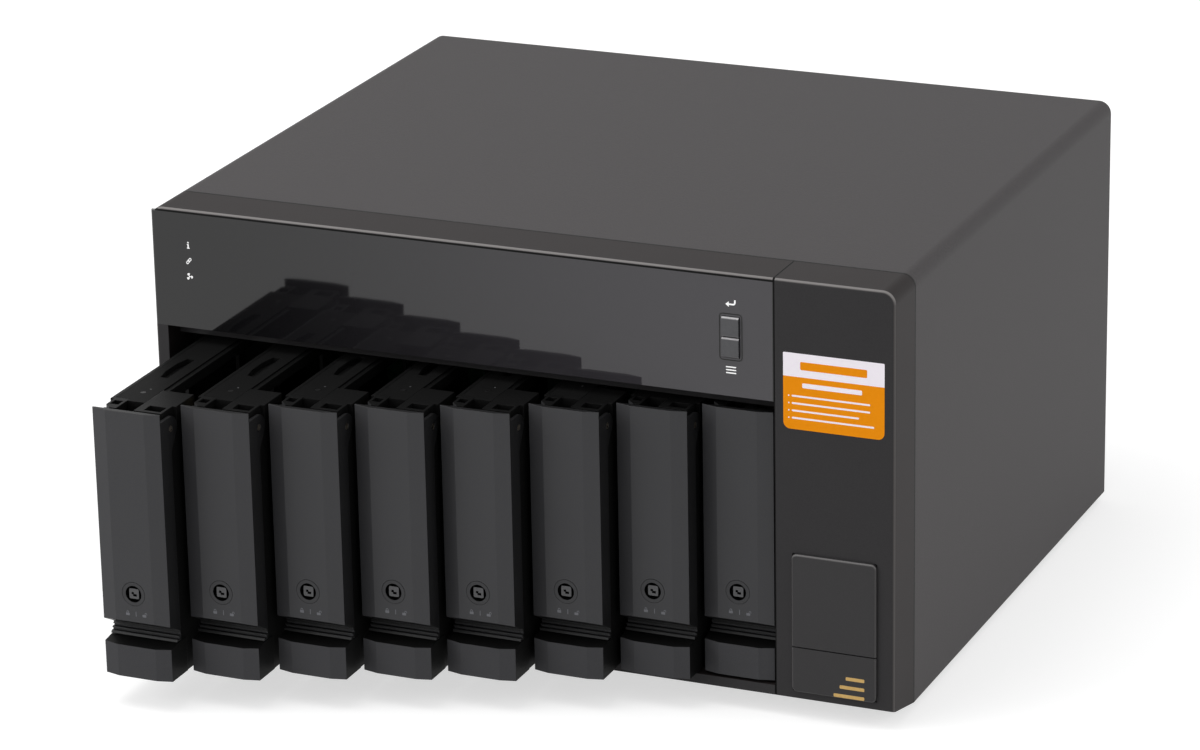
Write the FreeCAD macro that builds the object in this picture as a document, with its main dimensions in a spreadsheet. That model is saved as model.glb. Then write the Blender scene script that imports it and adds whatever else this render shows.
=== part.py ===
# Desktop disk shelf enclosure: eight hot-swap trays in a sheet-metal case.
# Millimetres, +Z up, front faces -Y. Sub-parts are drawn round the middle of the case;
# the finished part's origin is on the table, under the middle of case and trays together.
import FreeCAD, Part
import math
import os
import Sketcher

doc = FreeCAD.newDocument("DiskShelf")
sheet = doc.addObject("Spreadsheet::Sheet", "Sizes")

# ---------------------------------------------------------------- driving sizes
SIZES = {
    # case
    "case_width": 329.3,
    "case_depth": 279.6,
    "case_height": 183.7,        # without the feet
    "foot_height": 4.0,          # gap between the table and the case
    "sheet_gauge": 1.2,
    "case_round": 5.5,           # long top edges
    "hem_width": 9.0,            # inward bottom flange of the cover
    "flange_width": 10.0,        # folded edges of the pan and the rear panel
    "rear_inset": 2.3,           # rear panel sits this far inside the cover
    "seam_gap": 0.2,
    # front bezel
    "bezel_depth": 23.0,
    "bezel_wall": 2.5,
    "edge_round": 1.4,
    "chin_rise": 5.0,            # bezel underside rises this much to the front
    "column_width": 51.2,
    "side_strip": 5.75,          # bezel strip left of the bays
    "sill_top": 9.2,
    "bay_top": 5.4,              # edge of the bays above the handles
    "band_lip": 1.7,             # bezel edge above the glossy panel
    "panel_gauge": 2.0,
    "beam_inset": 10.6,
    "beam_gauge": 2.4,
    "beam_foot": 0.5,            # cross beam above the trays
    # rocker buttons and the board behind them
    "rocker_left": 22.15,        # left edge, from the column
    "rocker_width": 7.7,
    "rocker_foot": 0.9,          # middle, below the middle of the band
    "rocker_height": 17.6,
    "button_gap": 0.2,
    "button_proud": 1.2,
    "button_round": 1.2,
    "button_travel": 0.8,
    "stem_width": 3.6,
    "board_gauge": 1.6,
    "board_inset": 13.8,         # front face of the small board behind the bezel front
    "switch_width": 6.0,
    "switch_gauge": 4.5,
    "led_width": 2.4,
    "led_gauge": 8.4,
    "led_column": 17.15,         # from the case's left side
    "led_middle": 3.6,           # above the middle of the band
    "led_pitch": 6.8,
    "boss_radius": 3.0,
    "boss_low": 0.3632,          # rows of bosses, as shares of the room behind the band
    "boss_high": 0.7906,
    "boss_offset": 3.0,          # between a boss and the rocker
    # plates on the side column
    "plate_left": 7.45,          # in from the column's left side
    "plate_right": 7.45,         # in from the column's right side
    "plate_foot": 8.2,
    "plate_split": 28.0,
    "plate_head": 68.2,
    "plate_line": 0.5,
    "plate_proud": 1.6,
    "plate_seat": 0.8,
    "plate_bevel": 1.3,
    # trays
    "bay_slack": 9.95,           # width of the bays that the eight trays leave over
    "last_tray": 1.0,            # between the column and the handle beside it
    "tray_gap": 2.8,             # between the bodies of two trays
    "handle_gap": 2.2,           # between the handles of two trays
    "facet_flat": 17.5,
    "facet_drop": 1.6,
    "handle_head": 1.3,          # above the tray
    "handle_foot": 5.2,          # foot of the front plate above the chin
    "handle_side": 10.3,         # depth of the side walls
    "handle_gauge": 2.2,
    "handle_wall": 1.5,
    "cavity_reach": 8.0,         # of the sloping floor past the side walls
    "chin_depth": 9.6,
    "chin_foot": 4.3,            # above the grip's foot
    "grip_depth": 6.8,
    "grip_foot": 1.5,            # above the foot block
    "groove_height": 0.9,
    "groove_depth": 1.2,
    "pin_depth": 10.5,
    "pin_drop": 8.7,
    "pin_radius": 1.4,
    "pin_fit": 0.06,
    "knuckle_radius": 5.2,
    "knuckle_blend": 12.0,
    "swing_gap": 0.6,
    "ear_radius": 4.0,
    "ear_gauge": 2.4,
    "block_foot": 0.3,           # sliding clearance above the cage floor
    "block_head": 13.9,          # height of the foot block at its front
    "shelf_back": 1.0,           # rise of the foot block to its back
    "tray_head": 114.7,          # height of the tray
    "cheek_gauge": 1.7,
    "web_depth": 12.6,           # front face of the wall behind the handle
    "web_gauge": 2.4,
    "brow_depth": 6.6,           # front edge of the top flange
    "brow_chamfer": 3.0,
    "brow_rim": 1.2,             # ribs left between the recesses of the brow
    "brow_step": 4.0,            # from the brow's front to its left recess
    "brow_land": 1.8,            # from the brow's front to its right recess
    "head_length": 32.0,         # moulded front of the tray
    "tray_length": 188.0,
    "base_gauge": 1.6,
    "rail_width": 18.0,
    "rail_gauge": 2.8,
    "rail_head": 2.2,            # seat of the strip below the tray's head
    "lip_width": 2.1,
    "lip_drop": 0.6,
    "window_rib": 6.0,           # rib between two windows
    "window_height": 28.0,
    "window_end": 10.0,          # from the last window to the tray's end
    "window_start": 8.0,         # first window behind the moulded front
    "window_inset": 10.0,        # between the windows and the rails
    "strip_start": 18.0,         # tool-less fastening strip
    "strip_length": 134.0,
    "peg_first": 14.0,           # pegs, from the front of the strip
    "peg_second": 74.0,
    "peg_third": 116.0,
    "strip_gap": 0.15,
    "tab_left": 8.0,             # from the tray's left side
    "tab_reach": 2.0,
    "tab_floor": 1.0,            # below the strip's tab, above the rail's inner face
    "finger_start": 46.0,
    "finger_length": 24.0,
    "finger_width": 4.8,
    "finger_slope": 7.0,         # length of its slanted corners
    "finger_left": 5.8,          # from the tray's left side
    "peg_width": 3.0,
    # key lock in the handle
    "lock_level": 12.3,          # above the foot of the front plate
    "lock_radius": 5.15,
    "lock_bore": 3.6,
    "lock_fit": 0.1,
    "lock_length": 6.4,
    "lock_floor": 1.6,
    "key_width": 4.4,
    "key_sink": 0.6,             # face of the key socket below the barrel's face
    "keyway_width": 1.1,
    "cam_width": 4.2,
    "cam_gauge": 1.4,
    "cam_reach": 7.5,
    # how far each tray stands out of its bay
    "pull_one": 88.5,
    "pull_two": 74.5,
    "pull_three": 61.0,
    "pull_four": 49.0,
    "pull_five": 38.0,
    "pull_six": 24.0,
    "pull_seven": 11.0,
    "pull_eight": 0.0,
    # drive cage and backplane
    "cage_floor": 1.0,           # above the sill
    "cage_roof": 1.0,            # above the trays
    "guide_width": 1.6,
    "guide_height": 4.0,
    "guide_inset": 12.0,
    "backplane_inset": 7.8,      # front face, behind the trays
    "backplane_foot": 6.0,
    "backplane_head": 1.8,       # above the cage's roof
    "vent_width": 14.0,
    "vent_foot": 6.0,            # above the drive sockets
    "vent_height": 46.0,
    "socket_offset": 6.0,        # drive socket, from the tray centre
    "socket_width": 5.4,
    "socket_foot": 24.0,
    "socket_height": 42.0,
    "socket_gauge": 8.2,
    # fans
    "fan_width": 120.0,
    "fan_gauge": 25.0,
    "fan_gap": 4.0,              # between the two housings
    "fan_foot": 10.0,            # foot of the housings
    "fan_rim": 2.5,              # between the duct and the housing's sides
    "fan_hub": 20.0,
    "fan_tip_gap": 1.2,
    "fan_round": 6.0,
    "strut_width": 4.0,
    "strut_gauge": 3.0,
    "spindle_radius": 2.5,
    "spindle_fit": 0.08,
    "blade_gauge": 1.8,
    "blade_count": 7,
    "rotor_gap": 1.0,            # running gap at the ends of a rotor
    "rotor_cap": 2.0,            # closed end of a rotor's bore
    # power supply
    "supply_shift": 0.8,         # its middle, left of the column's middle
    "supply_width": 40.5,
    "supply_height": 81.5,
    "supply_length": 150.0,
    "supply_fan_level": 22.5,
    "supply_rim": 1.65,          # between the fan well and the sides
    "supply_fan_depth": 20.0,
    "supply_hub": 8.5,
    "supply_spindle": 1.5,
    "inlet_level": 59.6,         # above the supply's foot
    "inlet_width": 27.4,
    "inlet_height": 19.8,
    "inlet_depth": 20.0,
    "inlet_rim": 1.8,
    "inlet_wall": 1.7,
    "blade_pin": 4.0,
    "pin_gauge": 2.0,            # thickness of an inlet pin
    "pin_pitch": 7.0,
    "pin_step": 3.0,             # earth pin above the other two
    # host board with two cable ports
    "host_board_left": 12.65,    # from the case's right side
    "host_board_foot": 8.1,      # above the power supply
    "host_board_head": 11.7,     # below the case's top
    "port_width": 11.4,
    "port_height": 26.4,
    "port_inset": 24.15,         # cages start this far behind the edge connector
    "port_drop": 3.6,            # middle of the ports, below the middle of their room
    "port_pitch": 34.0,
    "port_wall": 1.4,
    "port_socket": 12.0,
    "port_gap": 0.25,
    "board_gap": 1.0,            # host board clear of the rear folds
    # openings of the rear panel
    "grille_inset": 5.75,        # between the duct and the first and last row
    "grille_slot": 7.6,
    "grille_web": 6.0,
    "grille_margin": 2.0,        # between the ends of the slots and the duct
    "slot_width": 3.5,
    "slot_height": 22.0,
    "slot_pitch": 12.0,
    "lock_slot_inset": 4.0,
    "lock_slot_width": 7.0,
    "lock_slot_height": 3.0,
    # feet
    "foot_radius": 10.0,
    "foot_inset": 24.0,
}

for row, (alias, number) in enumerate(SIZES.items(), start=1):
    sheet.set("A%d" % row, alias.replace("_", " "))
    sheet.set("B%d" % row, str(number))
    sheet.setAlias("B%d" % row, alias)
doc.recompute()


# ---------------------------------------------------------------- sizes with their formula
class Size:
    """A length together with the sheet formula that gives it."""

    def __init__(self, number, text):
        self.number = number
        self.text = text

    def __add__(self, other):
        other = size(other)
        return Size(self.number + other.number, "(%s + %s)" % (self.text, other.text))

    def __radd__(self, other):
        return size(other) + self

    def __sub__(self, other):
        other = size(other)
        return Size(self.number - other.number, "(%s - %s)" % (self.text, other.text))

    def __rsub__(self, other):
        return size(other) - self

    def __mul__(self, factor):
        factor = size(factor)
        return Size(self.number * factor.number, "(%s * %s)" % (self.text, factor.text))

    def __rmul__(self, factor):
        return self * factor

    def __truediv__(self, divisor):
        return Size(self.number / divisor, "(%s / %s)" % (self.text, divisor))

    def __neg__(self):
        return Size(-self.number, "(-%s)" % self.text)


def size(item):
    if isinstance(item, Size):
        return item
    if isinstance(item, str):
        return Size(float(sheet.get(item)), "Sizes." + item)
    return Size(float(item), "%.12g" % item)


def bind(thing, path, item):
    thing.setExpression(path, size(item).text)


# ---------------------------------------------------------------- sketch and feature helpers
PLANE_SIGN = {"XY_Plane": 1, "XZ_Plane": -1, "YZ_Plane": 1}


def new_body(label):
    body = doc.addObject("PartDesign::Body", label.replace("_", " ").title().replace(" ", ""))
    body.Label = label
    return body


def plane_of(body, role):
    return [item for item in body.Origin.OriginFeatures if item.Role == role][0]


def new_sketch(body, role, level):
    sketch = body.newObject("Sketcher::SketchObject", "Sketch")
    sketch.AttachmentSupport = [(plane_of(body, role), "")]
    sketch.MapMode = "FlatFace"
    bind(sketch, "AttachmentOffset.Base.z", size(level) * PLANE_SIGN[role])
    return sketch


def pin_point(sketch, geometry, position, spot):
    for name, item in zip(("DistanceX", "DistanceY"), spot):
        item = size(item)
        rule = Sketcher.Constraint(name, -1, 1, geometry, position, item.number)
        index = sketch.addConstraint(rule)
        if item.text != "0":
            sketch.setExpression("Constraints[%d]" % index, item.text)


def draw_polygon(sketch, spots):
    first = sketch.GeometryCount
    flat = [FreeCAD.Vector(size(a).number, size(b).number, 0) for a, b in spots]
    for start, end in zip(flat, flat[1:] + flat[:1]):
        sketch.addGeometry(Part.LineSegment(start, end), False)
    count = len(spots)
    for index in range(count):
        following = first + (index + 1) % count
        sketch.addConstraint(Sketcher.Constraint("Coincident", first + index, 2, following, 1))
        pin_point(sketch, first + index, 1, spots[index])


def draw_rectangle(sketch, low, high):
    draw_polygon(sketch, [low, (high[0], low[1]), high, (low[0], high[1])])


def draw_circle(sketch, centre, radius):
    middle = FreeCAD.Vector(size(centre[0]).number, size(centre[1]).number, 0)
    circle = Part.Circle(middle, FreeCAD.Vector(0, 0, 1), size(radius).number)
    index = sketch.addGeometry(circle, False)
    pin_point(sketch, index, 3, centre)
    rule = sketch.addConstraint(Sketcher.Constraint("Radius", index, size(radius).number))
    sketch.setExpression("Constraints[%d]" % rule, size(radius).text)


def polygon(*spots):
    return lambda sketch: draw_polygon(sketch, list(spots))


def rectangle(low, high):
    return lambda sketch: draw_rectangle(sketch, low, high)


def circle(centre, radius):
    return lambda sketch: draw_circle(sketch, centre, radius)


def flats(centre, inscribed, count):
    """Regular outline round a circle, for small pins and bores."""
    reach = size(inscribed) / math.cos(math.pi / count)
    spots = []
    for step in range(count):
        angle = 2 * math.pi * (step + 0.5) / count
        spots.append((centre[0] + reach * math.cos(angle), centre[1] + reach * math.sin(angle)))
    return polygon(*spots)


def extrude(body, kind, name, role, low, high, *outlines):
    """Add or remove the outlines between two levels along the plane's axis."""
    low, high = size(low), size(high)
    forward = (PLANE_SIGN[role] > 0) == (kind == "Pad")
    sketch = new_sketch(body, role, low if forward else high)
    for outline in outlines:
        outline(sketch)
    before = body.Shape.Volume if body.Tip else 0.0
    feature = body.newObject("PartDesign::" + kind, name)
    feature.Profile = sketch
    bind(feature, "Length", high - low)
    body.Tip = feature
    doc.recompute()
    change = body.Shape.Volume - before
    if (change > 0) != (kind == "Pad") or abs(change) < 1e-6:
        raise RuntimeError("%s %s changed nothing" % (body.Label, name))
    return feature


def pad(body, name, role, low, high, *outlines):
    return extrude(body, "Pad", name, role, low, high, *outlines)


def pocket(body, name, role, low, high, *outlines):
    return extrude(body, "Pocket", name, role, low, high, *outlines)


def mirror(body, name, role, feature):
    copy = body.newObject("PartDesign::Mirrored", name)
    copy.Originals = [feature]
    copy.MirrorPlane = (plane_of(body, role), [""])
    body.Tip = copy
    doc.recompute()
    return copy


def repeat(body, name, axis, feature, count, step):
    copy = body.newObject("PartDesign::LinearPattern", name)
    copy.Originals = [feature]
    line = [item for item in body.Origin.OriginFeatures if item.Role == axis][0]
    copy.Direction = (line, [""])
    copy.Occurrences = count
    bind(copy, "Length", step * (count - 1))
    body.Tip = copy
    doc.recompute()
    return copy


def edges_where(body, test):
    """Names of the straight or curved edges whose box passes the test."""
    names = []
    for index, edge in enumerate(body.Tip.Shape.Edges, start=1):
        if test(edge.BoundBox):
            names.append("Edge%d" % index)
    if not names:
        raise RuntimeError("no edge found on " + body.Label)
    return names


def soften(body, kind, name, amount, test):
    names = edges_where(body, test)
    base = body.Tip
    feature = body.newObject("PartDesign::" + kind, name)
    feature.Base = (base, names)
    bind(feature, "Radius" if kind == "Fillet" else "Size", amount)
    body.Tip = feature
    doc.recompute()
    return feature


def near(value, item):
    return abs(value - size(item).number) < 0.01


def lies_on(low, high, item):
    return near(low, item) and near(high, item)


def block(name, low, high):
    """A plain box between two corners, every side bound to the sheet."""
    box = doc.addObject("Part::Box", name)
    for side, path, start, end in zip(("Length", "Width", "Height"), "xyz", low, high):
        bind(box, side, size(end) - size(start))
        bind(box, "Placement.Base." + path, start)
    return box


def rod(name, centre, radius, low, high, axis):
    """A plain cylinder along X, Y or Z."""
    bar = doc.addObject("Part::Cylinder", name)
    bind(bar, "Radius", radius)
    bind(bar, "Height", size(high) - size(low))
    turns = {"X": FreeCAD.Rotation(FreeCAD.Vector(0, 1, 0), 90),
             "Y": FreeCAD.Rotation(FreeCAD.Vector(1, 0, 0), -90),
             "Z": FreeCAD.Rotation()}
    bar.Placement = FreeCAD.Placement(FreeCAD.Vector(), turns[axis])
    across = [letter for letter in "XYZ" if letter != axis]
    for letter, item in zip(across, centre):
        bind(bar, "Placement.Base." + letter.lower(), item)
    bind(bar, "Placement.Base." + axis.lower(), low)
    return bar


def group(label, pieces):
    """Separate solids that share one node."""
    bundle = doc.addObject("Part::Compound", label.replace("_", " ").title().replace(" ", ""))
    bundle.Label = label
    bundle.Links = pieces
    return bundle


nodes = []


def finish(item, x=0, y=0):
    """Place a finished piece in the part's frame and list it for export."""
    bind(item, "Placement.Base.x", x)
    bind(item, "Placement.Base.y", size(y) + size("pull_one") / 2)
    bind(item, "Placement.Base.z", "foot_height")
    nodes.append(item)
    return item


# ---------------------------------------------------------------- shared places
half_width = size("case_width") / 2
top = size("case_height")
front = -size("case_depth") / 2
rear = size("case_depth") / 2
gauge = size("sheet_gauge")
bezel_back = front + "bezel_depth"
cover_front = bezel_back + "seam_gap"
column_left = half_width - "column_width"
bay_left = -half_width + "side_strip"
panel_outer = rear - "rear_inset"
panel_inner = panel_outer - gauge
panel_face = front + "panel_gauge"
beam_front = front + "beam_inset"
band_back = front + "panel_gauge" + "bezel_wall"
column_middle = (column_left + half_width) / 2
supply_foot = gauge * 2
supply_head = supply_foot + "supply_height"
supply_left = column_middle - "supply_shift" - size("supply_width") / 2
host_left = half_width - "host_board_left"
host_foot = supply_head + "host_board_foot"
backplane_face = front + "tray_length" + "backplane_inset"

# levels, from the sill up
cage_floor = size("sill_top") + "cage_floor"
block_foot = cage_floor + "block_foot"
block_head = block_foot + "block_head"
shelf_back = block_head + "shelf_back"
grip_foot = block_head + "grip_foot"
chin_foot = grip_foot + "chin_foot"
handle_foot = chin_foot + "handle_foot"
lock_level = handle_foot + "lock_level"
tray_head = block_foot + "tray_head"
rail_head = tray_head - "rail_head"
rail_foot = rail_head - "rail_gauge"
tab_floor = rail_foot + "tab_floor"
cage_roof = tray_head + "cage_roof"
backplane_head = cage_roof + "backplane_head"
beam_foot = tray_head + "beam_foot"
handle_head = tray_head + "handle_head"
pin_level = handle_head - "pin_drop"
bay_top = handle_head + "bay_top"
band_middle = (bay_top + top) / 2
led_level = band_middle + "led_middle"
led_column = -half_width + "led_column"
rocker_left = column_left - "rocker_left"
rocker_middle = band_middle - "rocker_foot"

# trays share the width that the side strip, the column and the slack leave
PULLS = ("pull_one", "pull_two", "pull_three", "pull_four",
         "pull_five", "pull_six", "pull_seven", "pull_eight")
TRAYS = len(PULLS)
bay_width = size("case_width") - "side_strip" - "column_width" - "bay_slack"
tray_pitch = bay_width / TRAYS
tray_width = tray_pitch - "tray_gap"
handle_width = tray_pitch - "handle_gap"

# fans
fan_radius = size("fan_width") / 2 - "fan_rim"
fan_level = size("fan_foot") + size("fan_width") / 2


# ---------------------------------------------------------------- sheet-metal shell
def make_case_cover():
    """Inverted U of painted sheet with a hem under each side."""
    body = new_body("case_cover")
    inner = half_width - gauge
    hem = half_width - "hem_width"
    pad(body, "Wrap", "XZ_Plane", cover_front, rear,
        polygon((-half_width, 0), (-hem, 0), (-hem, gauge), (-inner, gauge),
                (-inner, top - gauge), (inner, top - gauge), (inner, gauge),
                (hem, gauge), (hem, 0), (half_width, 0), (half_width, top),
                (-half_width, top)))
    soften(body, "Fillet", "OuterRound", "case_round",
           lambda box: box.YLength > 10 and lies_on(box.ZMin, box.ZMax, top))
    soften(body, "Fillet", "InnerRound", size("case_round") - gauge,
           lambda box: box.YLength > 10 and lies_on(box.ZMin, box.ZMax, top - gauge))
    return finish(body)


def make_base_pan():
    """Floor sheet on the cover's hems, folded up along both sides."""
    body = new_body("base_pan")
    side = half_width - gauge
    floor = gauge * 2
    wall = floor + "flange_width"
    pan_back = panel_inner
    pad(body, "Floor", "XY_Plane", gauge, wall,
        rectangle((-side, cover_front), (side, pan_back)))
    pocket(body, "Tray", "XY_Plane", floor, wall,
           rectangle((-side + gauge, cover_front - 1), (side - gauge, pan_back + 1)))
    return finish(body)


def fan_centre(side):
    middle = (bay_left + column_left) / 2
    return middle + (size("fan_width") + "fan_gap") * (side * 0.5)


GRILLE_ROWS = 9
UPPER_VENTS = 18


def chord(radius, offset):
    """Half the length of a circle's chord at an offset from its centre."""
    number = math.sqrt(radius.number ** 2 - offset.number ** 2)
    return Size(number, "sqrt(%s ^ 2 - %s ^ 2)" % (radius.text, offset.text))


def port_corners(level):
    middle = (supply_head + top) / 2 - "port_drop"
    foot = middle - (size("port_pitch") + "port_height") / 2 + size("port_pitch") * level
    return (host_left - "port_width", foot), (host_left, foot + "port_height")


def grown(corners, margin):
    (x0, z0), (x1, z1) = corners
    return (size(x0) - margin, size(z0) - margin), (size(x1) + margin, size(z1) + margin)


def make_rear_panel():
    """Rear sheet with fan openings, power-supply window, cable ports and lock slot."""
    body = new_body("rear_panel")
    side = half_width - gauge
    head = top - gauge
    fold_front = panel_inner - "flange_width"
    pad(body, "Sheet", "XZ_Plane", fold_front, panel_outer, rectangle((-side, gauge), (side, head)))
    soften(body, "Fillet", "TopCorners", size("case_round") - gauge,
           lambda box: box.YLength > 5 and lies_on(box.ZMin, box.ZMax, head))
    pocket(body, "Folds", "XZ_Plane", fold_front, panel_inner,
           rectangle((-side + gauge, 0), (side - gauge, head - gauge)))
    pan_wall = gauge * 2 + "flange_width" + "seam_gap"
    pocket(body, "FoldFeet", "XZ_Plane", fold_front, panel_inner,
           rectangle((-side - 1, 0), (side + 1, pan_wall)))
    web = size("grille_web") / 2
    pitch = (fan_radius - "grille_inset") * 2 / GRILLE_ROWS
    for row in range(GRILLE_ROWS):
        level = pitch * (row - (GRILLE_ROWS - 1) / 2)
        outer = level + size("grille_slot") / 2 * (1 if level.number >= 0 else -1)
        reach = chord(fan_radius - "grille_margin", outer)
        low = level + fan_level - size("grille_slot") / 2
        high = low + "grille_slot"
        slots = []
        for x in (fan_centre(-1), fan_centre(1)):
            slots.append(rectangle((x - reach, low), (x - web, high)))
            slots.append(rectangle((x + web, low), (x + reach, high)))
        pocket(body, "GrilleRow", "XZ_Plane", panel_inner, panel_outer, *slots)
    margin = gauge * 1.5
    supply_right = supply_left + "supply_width"
    pocket(body, "Windows", "XZ_Plane", panel_inner, panel_outer,
           rectangle((supply_left + margin, supply_foot + margin),
                     (supply_right - margin, supply_head - margin)),
           rectangle(*grown(port_corners(0), "port_gap")),
           rectangle(*grown(port_corners(1), "port_gap")))
    slot_left = supply_left + "lock_slot_inset"
    slot_foot = port_corners(0)[1][1]
    pocket(body, "LockSlot", "XZ_Plane", panel_inner, panel_outer,
           rectangle((slot_left, slot_foot),
                     (slot_left + "lock_slot_width", slot_foot + "lock_slot_height")))
    vent_left = bay_left + "flange_width"
    vent_foot = fan_level + size("fan_width") / 2 + "flange_width"
    vent = pocket(body, "UpperVent", "XZ_Plane", panel_inner, panel_outer,
                  rectangle((vent_left, vent_foot),
                            (vent_left + "slot_width", vent_foot + "slot_height")))
    repeat(body, "UpperVents", "X_Axis", vent, UPPER_VENTS, size("slot_pitch"))
    return finish(body)


# ---------------------------------------------------------------- front mouldings
def round_front(body, radius, along):
    """Soften the moulding's front edge on the chosen outer side."""
    soften(body, "Fillet", "FrontEdge", radius,
           lambda box: lies_on(box.YMin, box.YMax, front) and along(box))


def slope_underside(body, low, high):
    pocket(body, "Underside", "YZ_Plane", low, high,
           polygon((front - 1, -1), (bezel_back, -1), (bezel_back, 0), (front, "chin_rise"),
                   (front - 1, "chin_rise")))


def rocker_opening(margin=0):
    left = rocker_left + margin
    right = rocker_left + "rocker_width" - margin
    foot = rocker_middle - size("rocker_height") / 2 + margin
    head = rocker_middle + size("rocker_height") / 2 - margin
    return (left, foot), (right, head)


def make_front_bezel():
    """Moulded frame round the bays, with the seat for the glossy panel."""
    body = new_body("front_bezel")
    right = column_left - "seam_gap"
    pad(body, "Frame", "XZ_Plane", front, bezel_back,
        rectangle((-half_width, 0), (right, top)))
    soften(body, "Fillet", "TopCorner", "case_round",
           lambda box: box.YLength > 10 and box.XMax < 0 and near(box.ZMin, top))
    round_front(body, "edge_round", lambda box: box.ZMax > 1 and box.XMin < right.number - 1)
    slope_underside(body, -half_width, right)
    pocket(body, "Bays", "XZ_Plane", front, bezel_back,
           rectangle((bay_left, "sill_top"), (right + 1, bay_top)))
    head = top - "band_lip"
    pocket(body, "PanelSeat", "XZ_Plane", front, panel_face,
           rectangle((-half_width - 1, bay_top), (right + 1, head)))
    wall = size("bezel_wall")
    pocket(body, "Hollow", "XZ_Plane", band_back, bezel_back,
           rectangle((-half_width + wall, bay_top + wall), (right - wall, top - wall)))
    pad(body, "Beam", "XZ_Plane", beam_front, beam_front + "beam_gauge",
        rectangle((bay_left, beam_foot), (right, bay_top)))
    pocket(body, "RockerOpening", "XZ_Plane", panel_face, band_back,
           rectangle(*rocker_opening()))
    boss = size("boss_radius")
    spots = [rectangle((x - boss, z - boss), (x + boss, z + boss))
             for x in boss_columns() for z in boss_rows()]
    pad(body, "Bosses", "XZ_Plane", band_back, front + "board_inset", *spots)
    return finish(body)


def boss_columns():
    left = led_column + "flange_width"
    right = rocker_left - "boss_offset" - "boss_radius"
    return left, (left + rocker_left - "flange_width") / 2, right


def boss_rows():
    foot = bay_top + "bezel_wall"
    room = top - "bezel_wall" - foot
    return [foot + room * size(share) for share in ("boss_low", "boss_high")]


def make_column_bezel():
    """Moulded front of the side column, with seats for its two blank plates."""
    body = new_body("column_bezel")
    pad(body, "Shell", "XZ_Plane", front, bezel_back,
        rectangle((column_left, 0), (half_width, top)))
    soften(body, "Fillet", "TopCorner", "case_round",
           lambda box: box.YLength > 10 and box.XMin > column_left.number + 1
           and near(box.ZMin, top))
    slope_underside(body, column_left, half_width)
    outer = half_width.number
    round_front(body, "edge_round",
                lambda box: box.XMax > column_left.number + 1 and box.ZMax > 6)
    wall = size("bezel_wall")
    pocket(body, "Hollow", "XZ_Plane", front + wall, bezel_back,
           rectangle((column_left + wall, size("chin_rise") + wall),
                     (half_width - wall, top - wall)))
    line = size("plate_line") / 2
    left, right = plate_sides()
    pocket(body, "PlateSeats", "XZ_Plane", front, front + "plate_seat",
           rectangle((left, "plate_foot"), (right, size("plate_split") - line)),
           rectangle((left, size("plate_split") + line), (right, "plate_head")))
    return finish(body)


def plate_sides():
    return column_left + "plate_left", half_width - "plate_right"


def make_column_plates():
    """Two blank plates seated in the column, bevelled but for the edge they share."""
    line = size("plate_line") / 2
    left, right = plate_sides()
    face = front - "plate_proud"
    pieces = []
    spans = [("LowerPlate", size("plate_foot"), size("plate_split") - line),
             ("UpperPlate", size("plate_split") + line, size("plate_head"))]
    for name, foot, head in spans:
        body = new_body(name)
        pad(body, "Plate", "XZ_Plane", face, front + "plate_seat",
            rectangle((left, foot), (right, head)))
        shared = head if name == "LowerPlate" else foot
        soften(body, "Chamfer", "Bevel", "plate_bevel",
               lambda box: lies_on(box.YMin, box.YMax, face)
               and not lies_on(box.ZMin, box.ZMax, shared))
        pieces.append(body)
    return finish(group("column_plates", pieces))


def make_display_panel():
    """Glossy strip across the top of the front, with the rocker opening."""
    body = new_body("display_panel")
    head = top - "band_lip"
    pad(body, "Strip", "XZ_Plane", front, panel_face,
        rectangle((-half_width, bay_top), (column_left - "seam_gap", head)))
    soften(body, "Fillet", "LeftEdge", "edge_round",
           lambda box: lies_on(box.XMin, box.XMax, -half_width)
           and lies_on(box.YMin, box.YMax, front))
    pocket(body, "RockerOpening", "XZ_Plane", front, panel_face, rectangle(*rocker_opening()))
    return finish(body)


def make_button(label, lower):
    """One half of the rocker: cap, retaining flange and stem to its switch."""
    body = new_body(label)
    (left, foot), (right, head) = rocker_opening("button_gap")
    middle = (foot + head) / 2
    gap = size("button_gap") / 2
    if lower:
        head = middle - gap
    else:
        foot = middle + gap
    face = front - "button_proud"
    pad(body, "Cap", "XZ_Plane", face, band_back + "button_gap",
        rectangle((left, foot), (right, head)))
    soften(body, "Fillet", "Crown", "button_round",
           lambda box: lies_on(box.YMin, box.YMax, face) and box.XLength > 1)
    keep = size("button_gap") * 4
    low = (left - keep, foot - keep if lower else foot)
    high = (right + keep, head if lower else head + keep)
    pad(body, "Keeper", "XZ_Plane", band_back + "button_gap", band_back + size("button_gap") * 6,
        rectangle(low, high))
    centre = (left + right) / 2
    level = (foot + head) / 2
    half = size("stem_width") / 2
    pad(body, "Stem", "XZ_Plane", band_back + size("button_gap") * 6, stem_end(),
        rectangle((centre - half, level - half), (centre + half, level + half)))
    return finish(body)


def stem_end():
    return front + "board_inset" - "switch_gauge" - "button_travel" - size("button_gap") / 2


def make_front_board():
    """Small board behind the glossy panel with two switches and three lamps."""
    face = front + "board_inset"
    left = led_column - "switch_width"
    right = rocker_left + "rocker_width" + "switch_width"
    low_row, high_row = boss_rows()
    board = block("FrontBoard", (left, face, low_row - "boss_radius"),
                  (right, face + "board_gauge", high_row + "boss_radius"))
    pieces = [board]
    (x0, z0), (x1, z1) = rocker_opening("button_gap")
    centre = (x0 + x1) / 2
    half = size("switch_width") / 2
    quarter = (z1 - z0) / 4
    for name, level in (("LowerSwitch", z0 + quarter), ("UpperSwitch", z1 - quarter)):
        pieces.append(block(name, (centre - half, face - "switch_gauge", level - half),
                            (centre + half, face, level + half)))
    for step in (-1, 0, 1):
        level = led_level + size("led_pitch") * step
        half = size("led_width") / 2
        pieces.append(block("Lamp", (led_column - half, face - "led_gauge", level - half),
                            (led_column + half, face, level + half)))
    return finish(group("front_board", pieces))


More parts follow.
